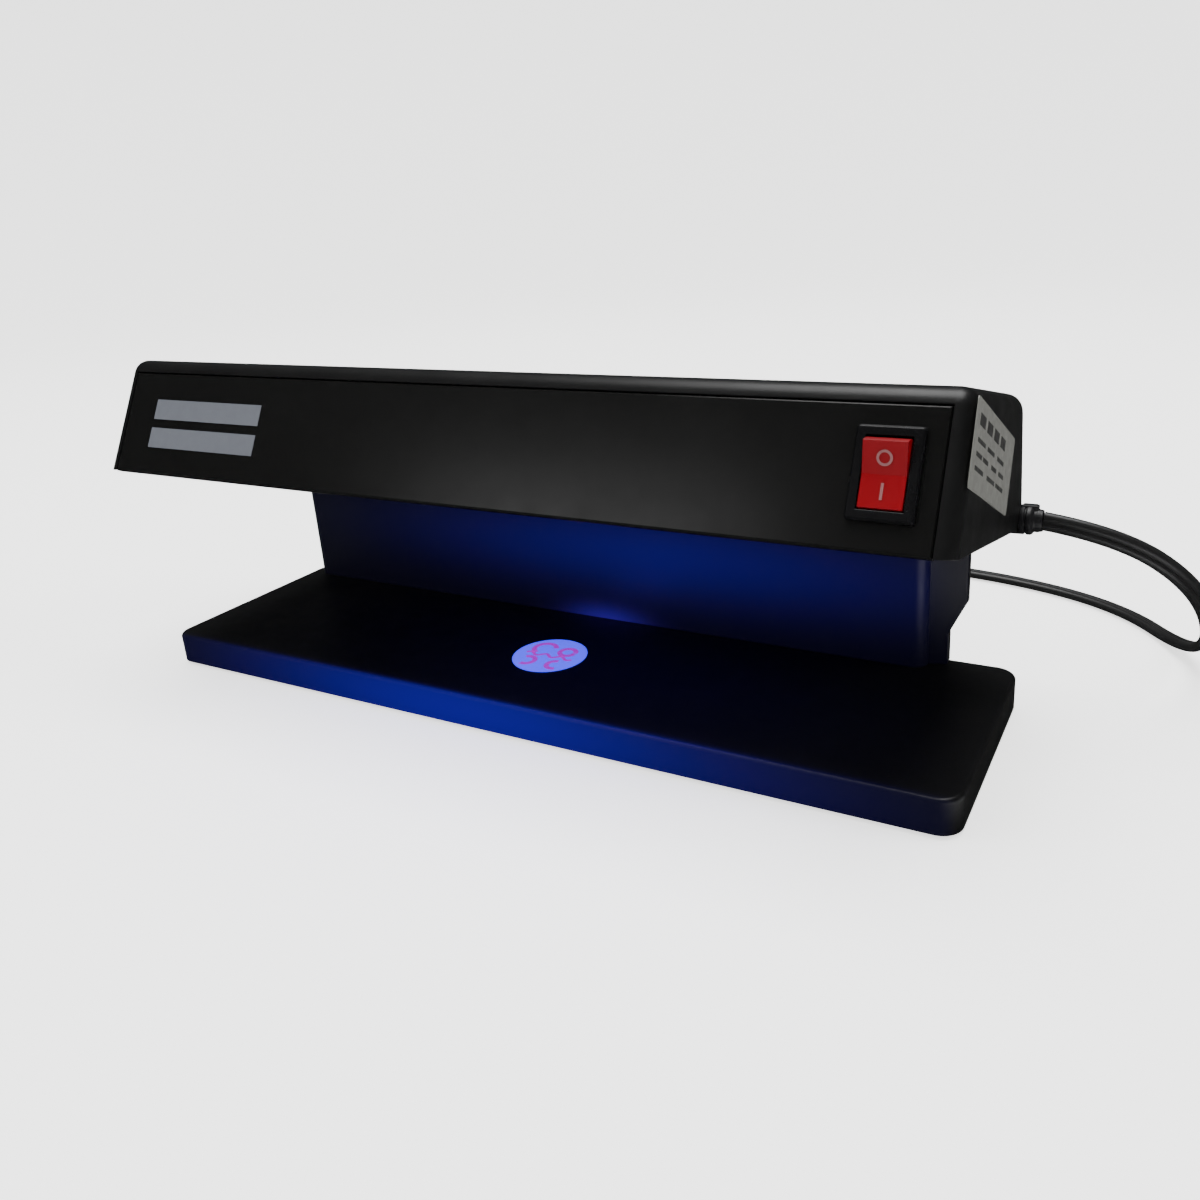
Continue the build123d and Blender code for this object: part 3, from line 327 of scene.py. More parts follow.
class Shade(Enum):
    """Every finish on the object, by what it is on."""

    HOOD = Plastic("hood_plastic", (0.0055, 0.0055, 0.0056), 0.38, 0.30, 0.55, 0.022, 0.45)
    PANEL = Plastic("panel_plastic", (0.0050, 0.0050, 0.0048), 0.22, 0.36, 0.45, 0.006, 0.40)
    TRAY = Plastic(
        "tray_plastic",
        (0.008, 0.008, 0.008),
        0.5,
        0.25,
        depth=0.03,
        # painted violet light of the tube on the tray under it, as emission
        painted_glows=(PaintedGlow((0.05, 0.0, 1.0), 0.10, (0.0, -22.0, 74.0), (70.0, 24.0, 14.0)),),
    )
    COLUMN = Plastic(
        "column_plastic",
        (0.0065, 0.0065, 0.0068),
        0.33,
        0.30,
        depth=0.006,
        # painted violet light of the lamp across the column front, and a second painted violet pool
        # low on the column just above the base, as emission
        painted_glows=(
            PaintedGlow((0.045, 0.0, 1.0), 0.115, (22.0, 34.0, 37.0), (84.0, 4.0, 14.0), 0.03),
            PaintedGlow((0.10, 0.01, 1.0), 0.20, (3.0, 34.0, 10.5), (14.0, 30.0, 5.0)),
        ),
    )
    BASE = Plastic(
        "base_plastic",
        (0.0050, 0.0050, 0.0052),
        0.36,
        0.26,
        # painted violet light along the base's front edge, as emission
        painted_glows=(PaintedGlow((0.045, 0.0, 1.0), 0.27, (-7.0, -32.6, 6.0), (80.0, 1.6, 14.0)),),
    )
    REAR = Plastic("rear_cover_plastic", (0.013, 0.013, 0.013), 0.42, 0.3, 0.6, 0.03, 0.35)
    UNDERSIDE = Plastic("underside_plastic", (0.015, 0.015, 0.015), 0.5, 0.25, 0.8, 0.04, 0.3)
    RUBBER = Plastic("foot_rubber", (0.02, 0.02, 0.02), 0.75, 0.2, 0.9, 0.05, 0.3)
    NYLON = Plastic("switch_nylon", (0.0045, 0.0045, 0.005), 0.26, 0.3, 0.3, 0.006, 0.25)
    ROCKER = Plastic("rocker_red", (0.20, 0.0012, 0.005), 0.34, 0.22, 0.4, 0.006, 0.3, coat=0.08)
    BUSHING = Plastic("bushing_nylon", (0.008, 0.008, 0.009), 0.4, 0.4, 0.3, 0.015, 0.2)
    SHEATH = Plastic("lead_sheath", (0.011, 0.011, 0.011), 0.36, 0.4, 0.7, 0.02, 0.0)
    PLUG = Plastic("plug_rubber", (0.014, 0.014, 0.014), 0.46, 0.35, 0.5, 0.03, 0.3)
    TIE = Plastic("tie_hook_tape", (0.02, 0.02, 0.021), 0.85, 0.2, 0.25, 0.12, 0.0)
    CERAMIC = Plastic("holder_white", (0.62, 0.61, 0.58), 0.38, 0.4, 0.5, 0.01, 0.25)
    ENAMEL = Plastic(
        "reflector_enamel",
        (0.34, 0.34, 0.40),
        0.28,
        0.5,
        grain=2.0,
        depth=0.015,
        # painted light of the tube on the reflector, as emission
        painted_glows=(PaintedGlow((0.14, 0.04, 1.0), 0.95, (0.0, -22.9, 92.0), (75.0, 60.0, 60.0)),),
    )
    BOARD = Plastic("board_phenolic", (0.36, 0.20, 0.07), 0.55, 0.3, 0.4, 0.02, 0.1, 0.3)
    FERRITE = Plastic("choke_ferrite", (0.03, 0.03, 0.033), 0.5, 0.4, 0.3, 0.03, 0.2)
    CAN = Plastic("capacitor_sleeve", (0.01, 0.012, 0.03), 0.25, 0.5, 1.2, 0.01, 0.0)
    DIPPED = Plastic("film_capacitor_coat", (0.42, 0.03, 0.015), 0.28, 0.5, 1.5, 0.03, 0.0)
    EPOXY = Plastic("transistor_epoxy", (0.013, 0.013, 0.014), 0.5, 0.35, 0.3, 0.02, 0.2)
    RESISTOR = Plastic("resistor_coat", (0.07, 0.22, 0.38), 0.4, 0.4, 0.5, 0.01, 0.0)
    WHITE_WIRE = Plastic("wire_white", (0.62, 0.62, 0.6), 0.35, 0.4, 0.6, 0.01, 0.0)
    BROWN_WIRE = Plastic("wire_brown", (0.11, 0.035, 0.015), 0.35, 0.4, 0.6, 0.01, 0.0)
    BLUE_WIRE = Plastic("wire_blue", (0.01, 0.07, 0.34), 0.35, 0.4, 0.6, 0.01, 0.0)
    TAPE = Plastic("choke_tape", (0.72, 0.52, 0.05), 0.3, 0.45, 0.8, 0.01, 0.0)
    ZINC = Metal("screw_zinc", (0.60, 0.61, 0.63), 0.32)
    BLACKED = Metal("screw_blacked", (0.07, 0.07, 0.075), 0.42)
    ALUMINIUM = Metal("cap_aluminium", (0.78, 0.78, 0.79), 0.26)
    BRASS = Metal("brass", (0.74, 0.56, 0.26), 0.28)
    NICKEL = Metal("pin_nickel", (0.72, 0.70, 0.66), 0.18)
    BARS = Ink("printed_bar_grey", (0.118, 0.126, 0.146), (0.088, 0.094, 0.108), 0.5)
    LABEL = Ink("label_film", (0.23, 0.23, 0.21), (0.16, 0.16, 0.145), 0.42, 0.35, 0.8)
    LABEL_PRINT = Ink("label_print", (0.025, 0.025, 0.025), (0.045, 0.045, 0.04), 0.5)
    STICKER = Ink("sticker_film", (0.06, 0.05, 1.0), (0.09, 0.06, 1.0), 0.5, 0.0, 1.2, 1.3)
    STICKER_MARK = Ink("sticker_mark", (0.50, 0.0, 0.50), (0.42, 0.0, 0.52), 0.5, 0.0, 1.0, 0.75)
    MARK = Ink("rocker_mark", (0.25, 0.10, 0.10), (0.19, 0.06, 0.065), 0.45)
    GLASS = BlacklightGlass("tube_blacklight_glass", 66.0)

    @property
    def material(self) -> bpy.types.Material:
        """The finish's material, made the first time that it is asked for."""
        found = bpy.data.materials.get(f"{self.value.name}_finish")
        return found or self.value.build()


# ======== Surfaces ========


def grid_faces(rows: int, columns: int, wrap: bool) -> np.ndarray:
    """Quads of a grid of points.

    Args:
        rows: points along the first parameter.
        columns: points along the second.
        wrap: whether the last column joins the first.

    Returns:
        Four indices a face.
    """
    along = np.arange(rows - 1)[:, None]
    round_ = np.arange(columns if wrap else columns - 1)[None, :]
    after = (round_ + 1) % columns
    corners = [
        along * columns + round_,
        along * columns + after,
        (along + 1) * columns + after,
        (along + 1) * columns + round_,
    ]
    return np.stack(np.broadcast_arrays(*corners), axis=-1).reshape(-1, 4)


@dataclass
class Surface:
    """Points and quads of one or more grids, gathered into a single mesh."""

    points: list[np.ndarray] = field(default_factory=list)
    quads: list[np.ndarray] = field(default_factory=list)
    caps: list[np.ndarray] = field(default_factory=list)
    count: int = 0

    def grid(self, points: np.ndarray, wrap: bool = True, caps: bool = True) -> "Surface":
        """Adds a grid of points of shape rows, columns, 3, in millimetres.

        Args:
            points: the surface as a function of two parameters.
            wrap: whether the columns close into a ring.
            caps: whether the first and last rows are closed with a face each.

        Returns:
            This surface, so that calls can follow each other.
        """
        rows, columns = points.shape[:2]
        self.quads.append(grid_faces(rows, columns, wrap) + self.count)
        if wrap and caps:
            ring = np.arange(columns)
            self.caps.append(ring[::-1] + self.count)
            self.caps.append(ring + self.count + (rows - 1) * columns)
        self.points.append(points.reshape(-1, 3))
        self.count += rows * columns
        return self

    def object(self, name: str, shade: Shade, smooth: bool = True) -> bpy.types.Object:
        """Makes the mesh object, its faces pointing outwards and closed poles merged."""
        mesh = bpy.data.meshes.new(name)
        points = np.concatenate(self.points) * MM
        faces = np.concatenate(self.quads).tolist() + [cap.tolist() for cap in self.caps]
        mesh.from_pydata(points.tolist(), [], faces)
        tidy(mesh)
        mesh.polygons.foreach_set("use_smooth", np.full(len(mesh.polygons), smooth))
        if smooth:
            mesh.set_sharp_from_angle(angle=math.radians(38))
        mesh.materials.append(shade.material)
        piece = bpy.data.objects.new(name, mesh)
        bpy.context.scene.collection.objects.link(piece)
        return piece


def tidy(mesh: bpy.types.Mesh) -> None:
    """Merges doubled points, drops what has no area, and turns the faces outwards."""
    work = bmesh.new()
    work.from_mesh(mesh)
    bmesh.ops.remove_doubles(work, verts=work.verts, dist=2e-7)
    bmesh.ops.dissolve_degenerate(work, edges=work.edges, dist=1e-7)
    bmesh.ops.recalc_face_normals(work, faces=work.faces)
    work.to_mesh(mesh)
    work.free()


def turned(profile: Sequence[tuple[float, float]], centre: Point, around: int = 48) -> np.ndarray:
    """A profile turned about an axis along X.

    Args:
        profile: pairs of distance along X and radius.
        centre: the point that the distances are counted from.
        around: points round the axis.

    Returns:
        The grid of points: each row is one circle.
    """
    along, radius = np.array(profile, float).T
    angle = np.linspace(0, 2 * math.pi, around, endpoint=False)
    y = centre[1] + radius[:, None] * np.cos(angle)
    z = centre[2] + radius[:, None] * np.sin(angle)
    x = np.broadcast_to((centre[0] + along)[:, None], y.shape)
    return np.stack([x, y, z], axis=-1)


def swept(path: np.ndarray, section: np.ndarray, twist: np.ndarray) -> np.ndarray:
    """A flat section carried along a path.

    The section's first direction starts level and square to the path, turned by the twist; the
    second is square to both.

    Args:
        path: the points of the path, in millimetres.
        section: pairs of distances along the two directions.
        twist: an angle in radians at each point of the path.

    Returns:
        The grid of points: each row is one section.
    """
    tangent = np.gradient(path, axis=0)
    tangent /= np.linalg.norm(tangent, axis=1, keepdims=True)
    level = np.cross(tangent, [0.0, 0.0, 1.0])
    level /= np.linalg.norm(level, axis=1, keepdims=True)
    rise = np.cross(level, tangent)
    wide = np.cos(twist)[:, None] * level + np.sin(twist)[:, None] * rise
    thin = -np.sin(twist)[:, None] * level + np.cos(twist)[:, None] * rise
    flat = section[None, :, 0, None] * wide[:, None, :]
    return path[:, None, :] + flat + section[None, :, 1, None] * thin[:, None, :]


def superellipse(half_wide: float, half_high: float, power: float, points: int = 40) -> np.ndarray:
    """A rounded rectangle: cosine and sine of the angle, each raised to 2 over the power."""
    angle = np.linspace(0, 2 * math.pi, points, endpoint=False)
    across = np.sign(np.cos(angle)) * np.abs(np.cos(angle)) ** (2 / power)
    up = np.sign(np.sin(angle)) * np.abs(np.sin(angle)) ** (2 / power)
    return np.stack([half_wide * across, half_high * up], axis=-1)


def ribbon(line: np.ndarray, width: float, normal: Point, lift: float) -> np.ndarray:
    """A thin flat strip along a line that lies on a plane.

    Args:
        line: points of the line, in millimetres.
        width: width of the strip.
        normal: the plane's normal.
        lift: thickness of the strip, from the plane up.

    Returns:
        A closed grid: each row is the strip's rectangular section.
    """
    up = np.array(normal, float)
    tangent = np.gradient(line, axis=0)
    tangent /= np.linalg.norm(tangent, axis=1, keepdims=True)
    side = np.cross(tangent, up) * width / 2
    top = up * lift
    return np.stack([line - side, line + side, line + side + top, line - side + top], axis=1)


def keep(piece: bpy.types.Object, body: str) -> bpy.types.Object:
    """Rides a new piece on a body."""
    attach(piece, body)
    log.info("built %s on %s, %d faces", piece.name, body, len(piece.data.polygons))
    return piece


def dress(shade: Shade, nodes: Iterable[str]) -> None:
    """Puts a finish on pieces of the frame, through their material slots."""
    for node in nodes:
        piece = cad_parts[node]
        for place in piece.material_slots:
            place.material = shade.material
        if not piece.material_slots:
            piece.data.materials.append(shade.material)
        log.info("dressed %s with %s", node, shade.value.name)


# ======== Studio ========


@dataclass
class Studio:
    """A pale bowl of a floor, soft lights, and the camera."""

    camera_at: Point = (178.37, -246.67, 149.70)
    camera_turn: Point = (71.303, 3.499, 28.674)  # degrees about X, Y and Z
    focal: float = 31.197
    shift: tuple[float, float] = (-0.0320, -0.0482)
    bowl_floor: float = 1100.0  # radius of the level part
    bowl_rim: float = 2600.0
    bowl_high: float = 900.0
    bowl_middle: float = 60.0  # radius of the innermost ring but one
    bowl_rings: int = 60
    bowl_around: int = 96
    paper_lift: float = 1.5  # light that the camera sees added to the paper
    paper_in_gloss: tuple[float, float] = (0.03, 0.95)  # far from the pale spot, and in it
    spot_at: Point = (0.215, -0.05, 0.0)  # metres
    spot_reach: tuple[float, float] = (0.055, 0.08)  # metres: where its edge starts and ends
    surround: float = 0.30
    surround_in_gloss: float = 0.035
    surround_in_view: float = 2.3

    def build(self) -> None:
        """Makes all of it."""
        self.camera()
        self.floor()
        self.world()
        self.lights()

    def camera(self) -> None:
        """The camera, in front and to the right, above the hood."""
        lens = bpy.data.cameras.new("camera")
        lens.lens = self.focal
        lens.sensor_width = 36.0
        lens.shift_x, lens.shift_y = self.shift
        lens.clip_start, lens.clip_end = 0.01, 20.0
        camera = bpy.data.objects.new("camera", lens)
        camera.location = tuple(v * MM for v in self.camera_at)
        camera.rotation_euler = Euler([math.radians(a) for a in self.camera_turn], "XYZ")
        bpy.context.scene.collection.objects.link(camera)
        bpy.context.scene.camera = camera

    def floor(self) -> None:
        """A level disc whose rim rises in a smooth curve: height goes with the cube."""
        rings = np.linspace(self.bowl_middle, self.bowl_rim, self.bowl_rings)
        radius = np.concatenate([[1.0], rings])
        share = np.clip((radius - self.bowl_floor) / (self.bowl_rim - self.bowl_floor), 0, 1)
        height = self.bowl_high * share**3
        angle = np.linspace(0, 2 * math.pi, self.bowl_around, endpoint=False)
        x = radius[:, None] * np.cos(angle)
        y = radius[:, None] * np.sin(angle)
        z = np.broadcast_to(height[:, None], x.shape)
        surface = Surface().grid(np.stack([x, y, z], axis=-1), caps=False)
        surface.caps.append(np.arange(self.bowl_around))
        mesh = bpy.data.meshes.new("studio_floor")
        faces = np.concatenate(surface.quads).tolist() + [surface.caps[0].tolist()]
        mesh.from_pydata((surface.points[0] * MM).tolist(), [], faces)
        mesh.polygons.foreach_set("use_smooth", np.full(len(mesh.polygons), True))
        mesh.materials.append(self.paper())
        floor = bpy.data.objects.new("studio_floor", mesh)
        bpy.context.scene.collection.objects.link(floor)

    def paper(self) -> bpy.types.Material:
        """White paper, bright to the camera. Gloss sees it dark but for one pale spot.

        The dark stands for black cards round the object. The spot is on the floor at its right.
        """
        graph = Graph("studio_paper")
        graph.shader.inputs["Roughness"].default_value = 0.9
        graph.shader.inputs["Specular IOR Level"].default_value = 0.1
        path = graph.add("LightPath")
        far, near = ((level,) * 3 for level in self.paper_in_gloss)
        away = graph.add("VectorMath", {"operation": "DISTANCE"})
        graph.join(away.inputs[0], graph.place())
        away.inputs[1].default_value = self.spot_at
        fade = graph.add("MapRange", {"interpolation_type": "SMOOTHSTEP"})
        graph.join(fade.inputs["Value"], away.outputs["Value"])
        fade.inputs["From Min"].default_value = self.spot_reach[0]
        fade.inputs["From Max"].default_value = self.spot_reach[1]
        card = graph.blend(fade.outputs[0], near, far)
        tone = graph.blend(path.outputs["Is Glossy Ray"], (0.92, 0.92, 0.915), card)
        graph.join(graph.shader.inputs["Base Color"], tone)
        graph.shader.inputs["Emission Color"].default_value = (1.0, 1.0, 0.99, 1.0)
        lift = graph.math("MULTIPLY", path.outputs["Is Camera Ray"], self.paper_lift)
        graph.join(graph.shader.inputs["Emission Strength"], lift)
        return graph.material

    def world(self) -> None:
        """Even, pale surroundings, bright where the camera sees them and dim where gloss does."""
        world = bpy.data.worlds.new("studio")
        world.use_nodes = True
        nodes, links = world.node_tree.nodes, world.node_tree.links
        background = nodes["Background"]
        background.inputs["Color"].default_value = (0.96, 0.98, 1.0, 1.0)
        path = nodes.new("ShaderNodeLightPath")
        level = nodes.new("ShaderNodeMapRange")
        level.inputs["To Min"].default_value = self.surround
        level.inputs["To Max"].default_value = self.surround_in_gloss
        links.new(path.outputs["Is Glossy Ray"], level.inputs["Value"])
        seen = nodes.new("ShaderNodeMath")
        seen.operation = "MULTIPLY_ADD"
        seen.inputs[1].default_value = self.surround_in_view - self.surround
        links.new(path.outputs["Is Camera Ray"], seen.inputs[0])
        links.new(level.outputs["Result"], seen.inputs[2])
        links.new(seen.outputs[0], background.inputs["Strength"])
        bpy.context.scene.world = world

    def lights(self) -> None:
        """Soft panels: one overhead, one each side, and one for the sheen on the panel."""
        self.panel("overhead", (0.0, 0.1, 2.0), (0.0, 0.0, 0.0), 1.5, 62.0)
        self.panel("left_fill", (-1.7, -0.9, 1.5), (0.0, 0.0, 0.05), 1.0, 22.0, False)
        self.panel("right_fill", (1.7, 0.5, 1.3), (0.0, 0.0, 0.05), 1.0, 20.0, False)
        stand, aim = (-0.415, -0.690, 0.515), (0.02, -0.04, 0.08)
        self.panel("sheen", stand, aim, 0.36, 0.27, tall=0.10, roll=22.0)

    def panel(
        self,
        name: str,
        at: Point,
        aim: Point,
        size: float,
        watts: float,
        in_gloss: bool = True,
        tall: float | None = None,
        roll: float = 0.0,
    ) -> None:
        """One area light that faces its aim.

        Args:
            name: the light's name.
            at: where it stands, in metres.
            aim: the point that it faces.
            size: its width, in metres.
            watts: its power.
            in_gloss: whether it shows as a reflection.
            tall: its height where it isn't square.
            roll: how far it is turned about the way it faces, in degrees.
        """
        light = bpy.data.lights.new(name, "AREA")
        light.shape = "RECTANGLE"
        light.size, light.size_y = size, tall or size
        light.energy = watts
        lamp = bpy.data.objects.new(name, light)
        lamp.location = at
        facing = (Vector(aim) - Vector(at)).to_track_quat("-Z", "Y")
        lamp.rotation_euler = (facing @ Quaternion((0, 0, 1), math.radians(roll))).to_euler()
        lamp.visible_glossy = in_gloss
        bpy.context.scene.collection.objects.link(lamp)


# ======== Mains lead ========


@dataclass
class CordRoute:
    """Control points of the lead's line, from the bushing to the plug."""

    exit: Point = (141.3, 36.6, 59.1)
    free: tuple[Point, ...] = (
        (160.3, 37.2, 56.7),
        (179.3, 45.6, 42.1),
        (185.3, 66.6, 19.1),
        (179.3, 94.6, 1.8),
        (157.3, 124.6, 1.8),
        (119.3, 140.6, 1.8),
        (70.0, 144.9, 1.8),
    )
    coil_at: tuple[float, float] = (30.0, 112.0)
    lane_radii: tuple[float, float] = (31.3, 25.9)  # outer and inner turns
    lane_heights: tuple[float, float, float] = (1.8, 5.15, 8.5)
    points_per_turn: int = 14
    enter: float = 82.7  # degrees round the coil, from +X
    leave: float = 187.3  # degrees past the last whole turn
    # Each change of lane: from, to (degrees along the winding), then lane and layer after it.
    changes: tuple[tuple[float, float, int, int], ...] = (
        (310.0, 360.0, 1, 0),
        (660.0, 710.0, 1, 1),
        (995.0, 1045.0, 0, 1),
        (1315.0, 1365.0, 1, 2),
        (1627.0, 1677.0, 0, 2),
    )
    turns: int = 5
    tail: tuple[Point, ...] = ((39.5, 80.2, 7.0), (48.5, 79.6, 5.5))

    def coil(self) -> np.ndarray:
        """The coil's points: a circle whose radius and height pass smoothly from lane to lane."""
        end = 360.0 * self.turns + self.leave
        count = round(end / 360.0 * self.points_per_turn)
        wound = np.linspace(0.0, end, count + 1)
        radius = np.full(wound.shape, self.lane_radii[0])
        height = np.full(wound.shape, self.lane_heights[0])
        for start, stop, lane, layer in self.changes:
            share = np.clip((wound - start) / (stop - start), 0.0, 1.0)
            share = share * share * (3 - 2 * share)
            radius += share * (self.lane_radii[lane] - radius)
            height += share * (self.lane_heights[layer] - height)
        angle = np.radians(self.enter + wound)
        x = self.coil_at[0] + radius * np.cos(angle)
        y = self.coil_at[1] + radius * np.sin(angle)
        return np.stack([x, y, height], axis=-1)

    def points(self) -> np.ndarray:
        """All control points in order, in millimetres."""
        return np.concatenate([[self.exit], self.free, self.coil(), self.tail])


@dataclass
class MainsLead:
    """Flat two-core lead, its bushing, the tie round its coil, and a flat two-pin plug."""

    route: CordRoute = field(default_factory=CordRoute)
    wide: float = 5.2
    thick: float = 3.2
    groove: float = 0.30  # share of the thickness that the groove between the cores takes
    untwist_from: float = 12.0  # mm along the lead
    untwist_to: float = 120.0
    length: float = 1.27  # metres
    plug_at: Point = (48.5, 79.6, 5.5)  # middle of the plug's rear end
    plug_long: float = 35.0
    pin_out: float = 9.3  # from the plug's middle to each pin
    tie_turn: float = 20.0  # degrees round the coil, from +X
    tie_radius: float = 28.5  # from the coil's middle to the tie's
    tie_height: float = 5.2
    tie_wide: float = 8.0

    def build(self) -> None:
        """Makes every piece of the lead."""
        line = self.centreline()
        cord = self.sheath(line)
        bushing = self.bushing()
        body = self.plug_body()
        pins, sleeves = self.plug_pins()
        tie = self.tie()

    def centreline(self) -> np.ndarray:
        """The lead's smooth line, read from a NURBS curve through the route's control points."""
        curve = bpy.data.curves.new("lead_route", "CURVE")
        curve.dimensions = "3D"
        curve.resolution_u = 10
        spline = curve.splines.new("NURBS")
        points = self.route.points() * MM
        spline.points.add(len(points) - 1)
        spline.points.foreach_set("co", np.column_stack([points, np.ones(len(points))]).ravel())
        spline.order_u = 3
        spline.use_endpoint_u = True
        holder = bpy.data.objects.new("lead_route", curve)
        bpy.context.scene.collection.objects.link(holder)
        mesh = bpy.data.meshes.new_from_object(holder)
        flat = np.empty(len(mesh.vertices) * 3)
        mesh.vertices.foreach_get("co", flat)
        bpy.data.objects.remove(holder)
        bpy.data.curves.remove(curve)
        bpy.data.meshes.remove(mesh)
        return flat.reshape(-1, 3) / MM

    def section(self) -> np.ndarray:
        """An oval with a groove along each flat side: the height dips by a bell at the middle."""
        oval = superellipse(self.wide / 2, self.thick / 2, 2.3, 32)
        dip = 1 - self.groove * np.exp(-((oval[:, 0] / 0.55) ** 2))
        return np.stack([oval[:, 0], oval[:, 1] * dip], axis=-1)

    def sheath(self, line: np.ndarray) -> bpy.types.Object:
        """The lead's sheath: upright where it leaves the bushing, lying flat on the table."""
        step = np.linalg.norm(np.diff(line, axis=0), axis=1)
        run = np.concatenate([[0.0], np.cumsum(step)])
        share = np.clip((run - self.untwist_from) / (self.untwist_to - self.untwist_from), 0, 1)
        twist = (1 - share * share * (3 - 2 * share)) * math.pi / 2
        log.info("lead is %.0f mm long", run[-1])
        surface = Surface().grid(swept(line, self.section(), twist))
        piece = surface.object("mains_lead", Shade.SHEATH)
        keep(piece, HOUSING)
        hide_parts("power_cord", "cord_coil", "cord_tail")
        return piece

    def bushing(self) -> bpy.types.Object:
        """The strain relief: a two-part clamp bushing with a waist, a flange and a tapered nose."""
        at = (135.5, self.route.exit[1], self.route.exit[2])
        # Distance out of the wall, and radius.
        profile = [
            (-16.1, 0.0), (-16.1, 2.1), (-14.2, 2.85), (-2.3, 2.85), (-0.02, 2.85), (0.0, 4.0),
            (0.25, 4.1), (1.1, 4.1), (1.35, 3.75), (1.6, 3.75), (1.85, 4.1), (2.8, 4.1),
            (3.3, 3.85), (3.6, 3.3), (4.1, 3.2), (4.3, 3.3), (5.0, 3.15), (5.8, 2.95),
        ]
        shape = turned(profile, at, 64)
        # The nose is pinched from the sides to the flat lead's shape. A key stands on its top.
        along = shape[..., 0] - at[0]
        pinch = np.clip((along - 2.8) / 1.5, 0.0, 1.0)
        shape[..., 1] = at[1] + (shape[..., 1] - at[1]) * (1 - 0.16 * pinch)
        surface = Surface().grid(shape)
        key = superellipse(1.25, 0.95, 5.0, 24)
        key_up = 3.45  # from the lead's middle to the key's
        rows = np.array([[0.6, 1.0], [3.9, 1.0], [4.6, 0.8], [4.7, 0.0]])
        x = at[0] + np.broadcast_to(rows[:, :1], (len(rows), len(key)))
        y = at[1] + rows[:, 1:] * key[None, :, 0]
        z = at[2] + key_up + rows[:, 1:] * key[None, :, 1]
        surface.grid(np.stack([x, y, z], axis=-1))
        piece = surface.object("clamp_bushing", Shade.BUSHING)
        keep(piece, HOUSING)
        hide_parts("strain_relief")
        return piece

    def plug_body(self) -> bpy.types.Object:
        """The plug's body: rounded sections that widen towards the pins, with finger grooves."""
        rear, y0, z0 = self.plug_at
        along = np.linspace(0.0, 1.0, 60)
        widen = along * along * (3 - 2 * along)
        half_wide = 3.6 + (12.6 - 3.6) * np.clip(widen * 1.05, 0, 1)
        half_high = 3.5 + (5.3 - 3.5) * np.clip(along * 2.2, 0, 1) ** 0.8
        waist = np.exp(-(((along - 0.52) / 0.22) ** 2))
        half_wide = half_wide - 1.5 * waist
        ribs = 0.28 * waist * np.cos((along - 0.52) * 2 * math.pi * 13)
        tip = np.clip((1 - along) / 0.04, 0, 1) ** 0.5
        tail = np.clip(along / 0.03, 0, 1) ** 0.5
        scale = 0.86 + 0.14 * tip * tail
        base = superellipse(1.0, 1.0, 3.2, 56)
        x = rear + self.plug_long * along[:, None] + 0 * base[None, :, 0]
        y = y0 + (half_wide * scale + ribs)[:, None] * base[None, :, 0]
        z = z0 + (half_high * scale)[:, None] * base[None, :, 1]
        surface = Surface().grid(np.stack([x, y, z], axis=-1))
        piece = surface.object("plug_moulding", Shade.PLUG)
        keep(piece, HOUSING)
        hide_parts("plug_body")
        return piece

    def plug_pins(self) -> tuple[bpy.types.Object, bpy.types.Object]:
        """Two round pins, bare at the tip and sleeved at the root."""
        profile = [(-1.0, 0.0), (-1.0, 1.9), (17.4, 1.9), (18.4, 1.6), (18.9, 1.0), (19.0, 0.0)]
        sleeve = [(-0.5, 1.9), (-0.5, 2.0), (9.6, 2.0), (9.9, 1.93), (9.9, 1.9)]
        metal, plastic = Surface(), Surface()
        rear, y0, z0 = self.plug_at
        for side in (-self.pin_out, self.pin_out):
            root = (rear + self.plug_long, y0 + side, z0)
            metal.grid(turned(profile, root, 28), caps=False)
            plastic.grid(turned(sleeve, root, 28), caps=False)
        pins = metal.object("plug_pins_bare", Shade.NICKEL)
        sleeves = plastic.object("plug_pin_sleeves", Shade.NYLON)
        keep(pins, HOUSING)
        keep(sleeves, HOUSING)
        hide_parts("plug_pins")
        return pins, sleeves

    def tie(self) -> bpy.types.Object:
        """A strap of hook tape round the coil: a rounded loop across the turns."""
        angle = math.radians(self.tie_turn)
        out = np.array([math.cos(angle), math.sin(angle), 0.0])
        across = np.array([-math.sin(angle), math.cos(angle), 0.0])
        middle = np.array([*self.route.coil_at, self.tie_height]) + out * self.tie_radius
        loop = superellipse(5.45, 5.05, 4.0, 72)
        inner = superellipse(5.25, 4.85, 4.0, 72)
        half = self.tie_wide / 2
        rows = []
        for side, ring in ((-1, inner), (-1, loop), (1, loop), (1, inner), (-1, inner)):
            flat = ring[:, :1] * out + across * (side * half)
            rows.append(middle + flat + ring[:, 1:] * np.array([0.0, 0.0, 1.0]))
        piece = Surface().grid(np.array(rows), caps=False).object("coil_tie", Shade.TIE)
        return keep(piece, HOUSING)


# ======== Housing ========


@dataclass
class Housing:
    """The moulded shells, their screws and the feet, as the frame holds them."""

    finishes: dict[Shade, tuple[str, ...]] = field(
        default_factory=lambda: {
            Shade.HOOD: ("hood",),
            Shade.PANEL: ("front_panel",),
            Shade.TRAY: ("lamp_tray",),
            Shade.COLUMN: ("column_front",),
            Shade.BASE: ("base_plate",),
            Shade.REAR: ("rear_cover",),
            Shade.UNDERSIDE: ("base_cover",),
            Shade.RUBBER: ("rubber_feet",),
            Shade.ZINC: (
                "base_screws", "column_screws", "panel_screws", "reflector_screws",
                "holder_screws", "board_screws",
            ),
            Shade.BLACKED: ("rear_cover_screws", "tray_screws"),
        }
    )

    def build(self) -> None:
        """Dresses the shells."""
        for shade, nodes in self.finishes.items():
            dress(shade, nodes)


# ======== Printing ========


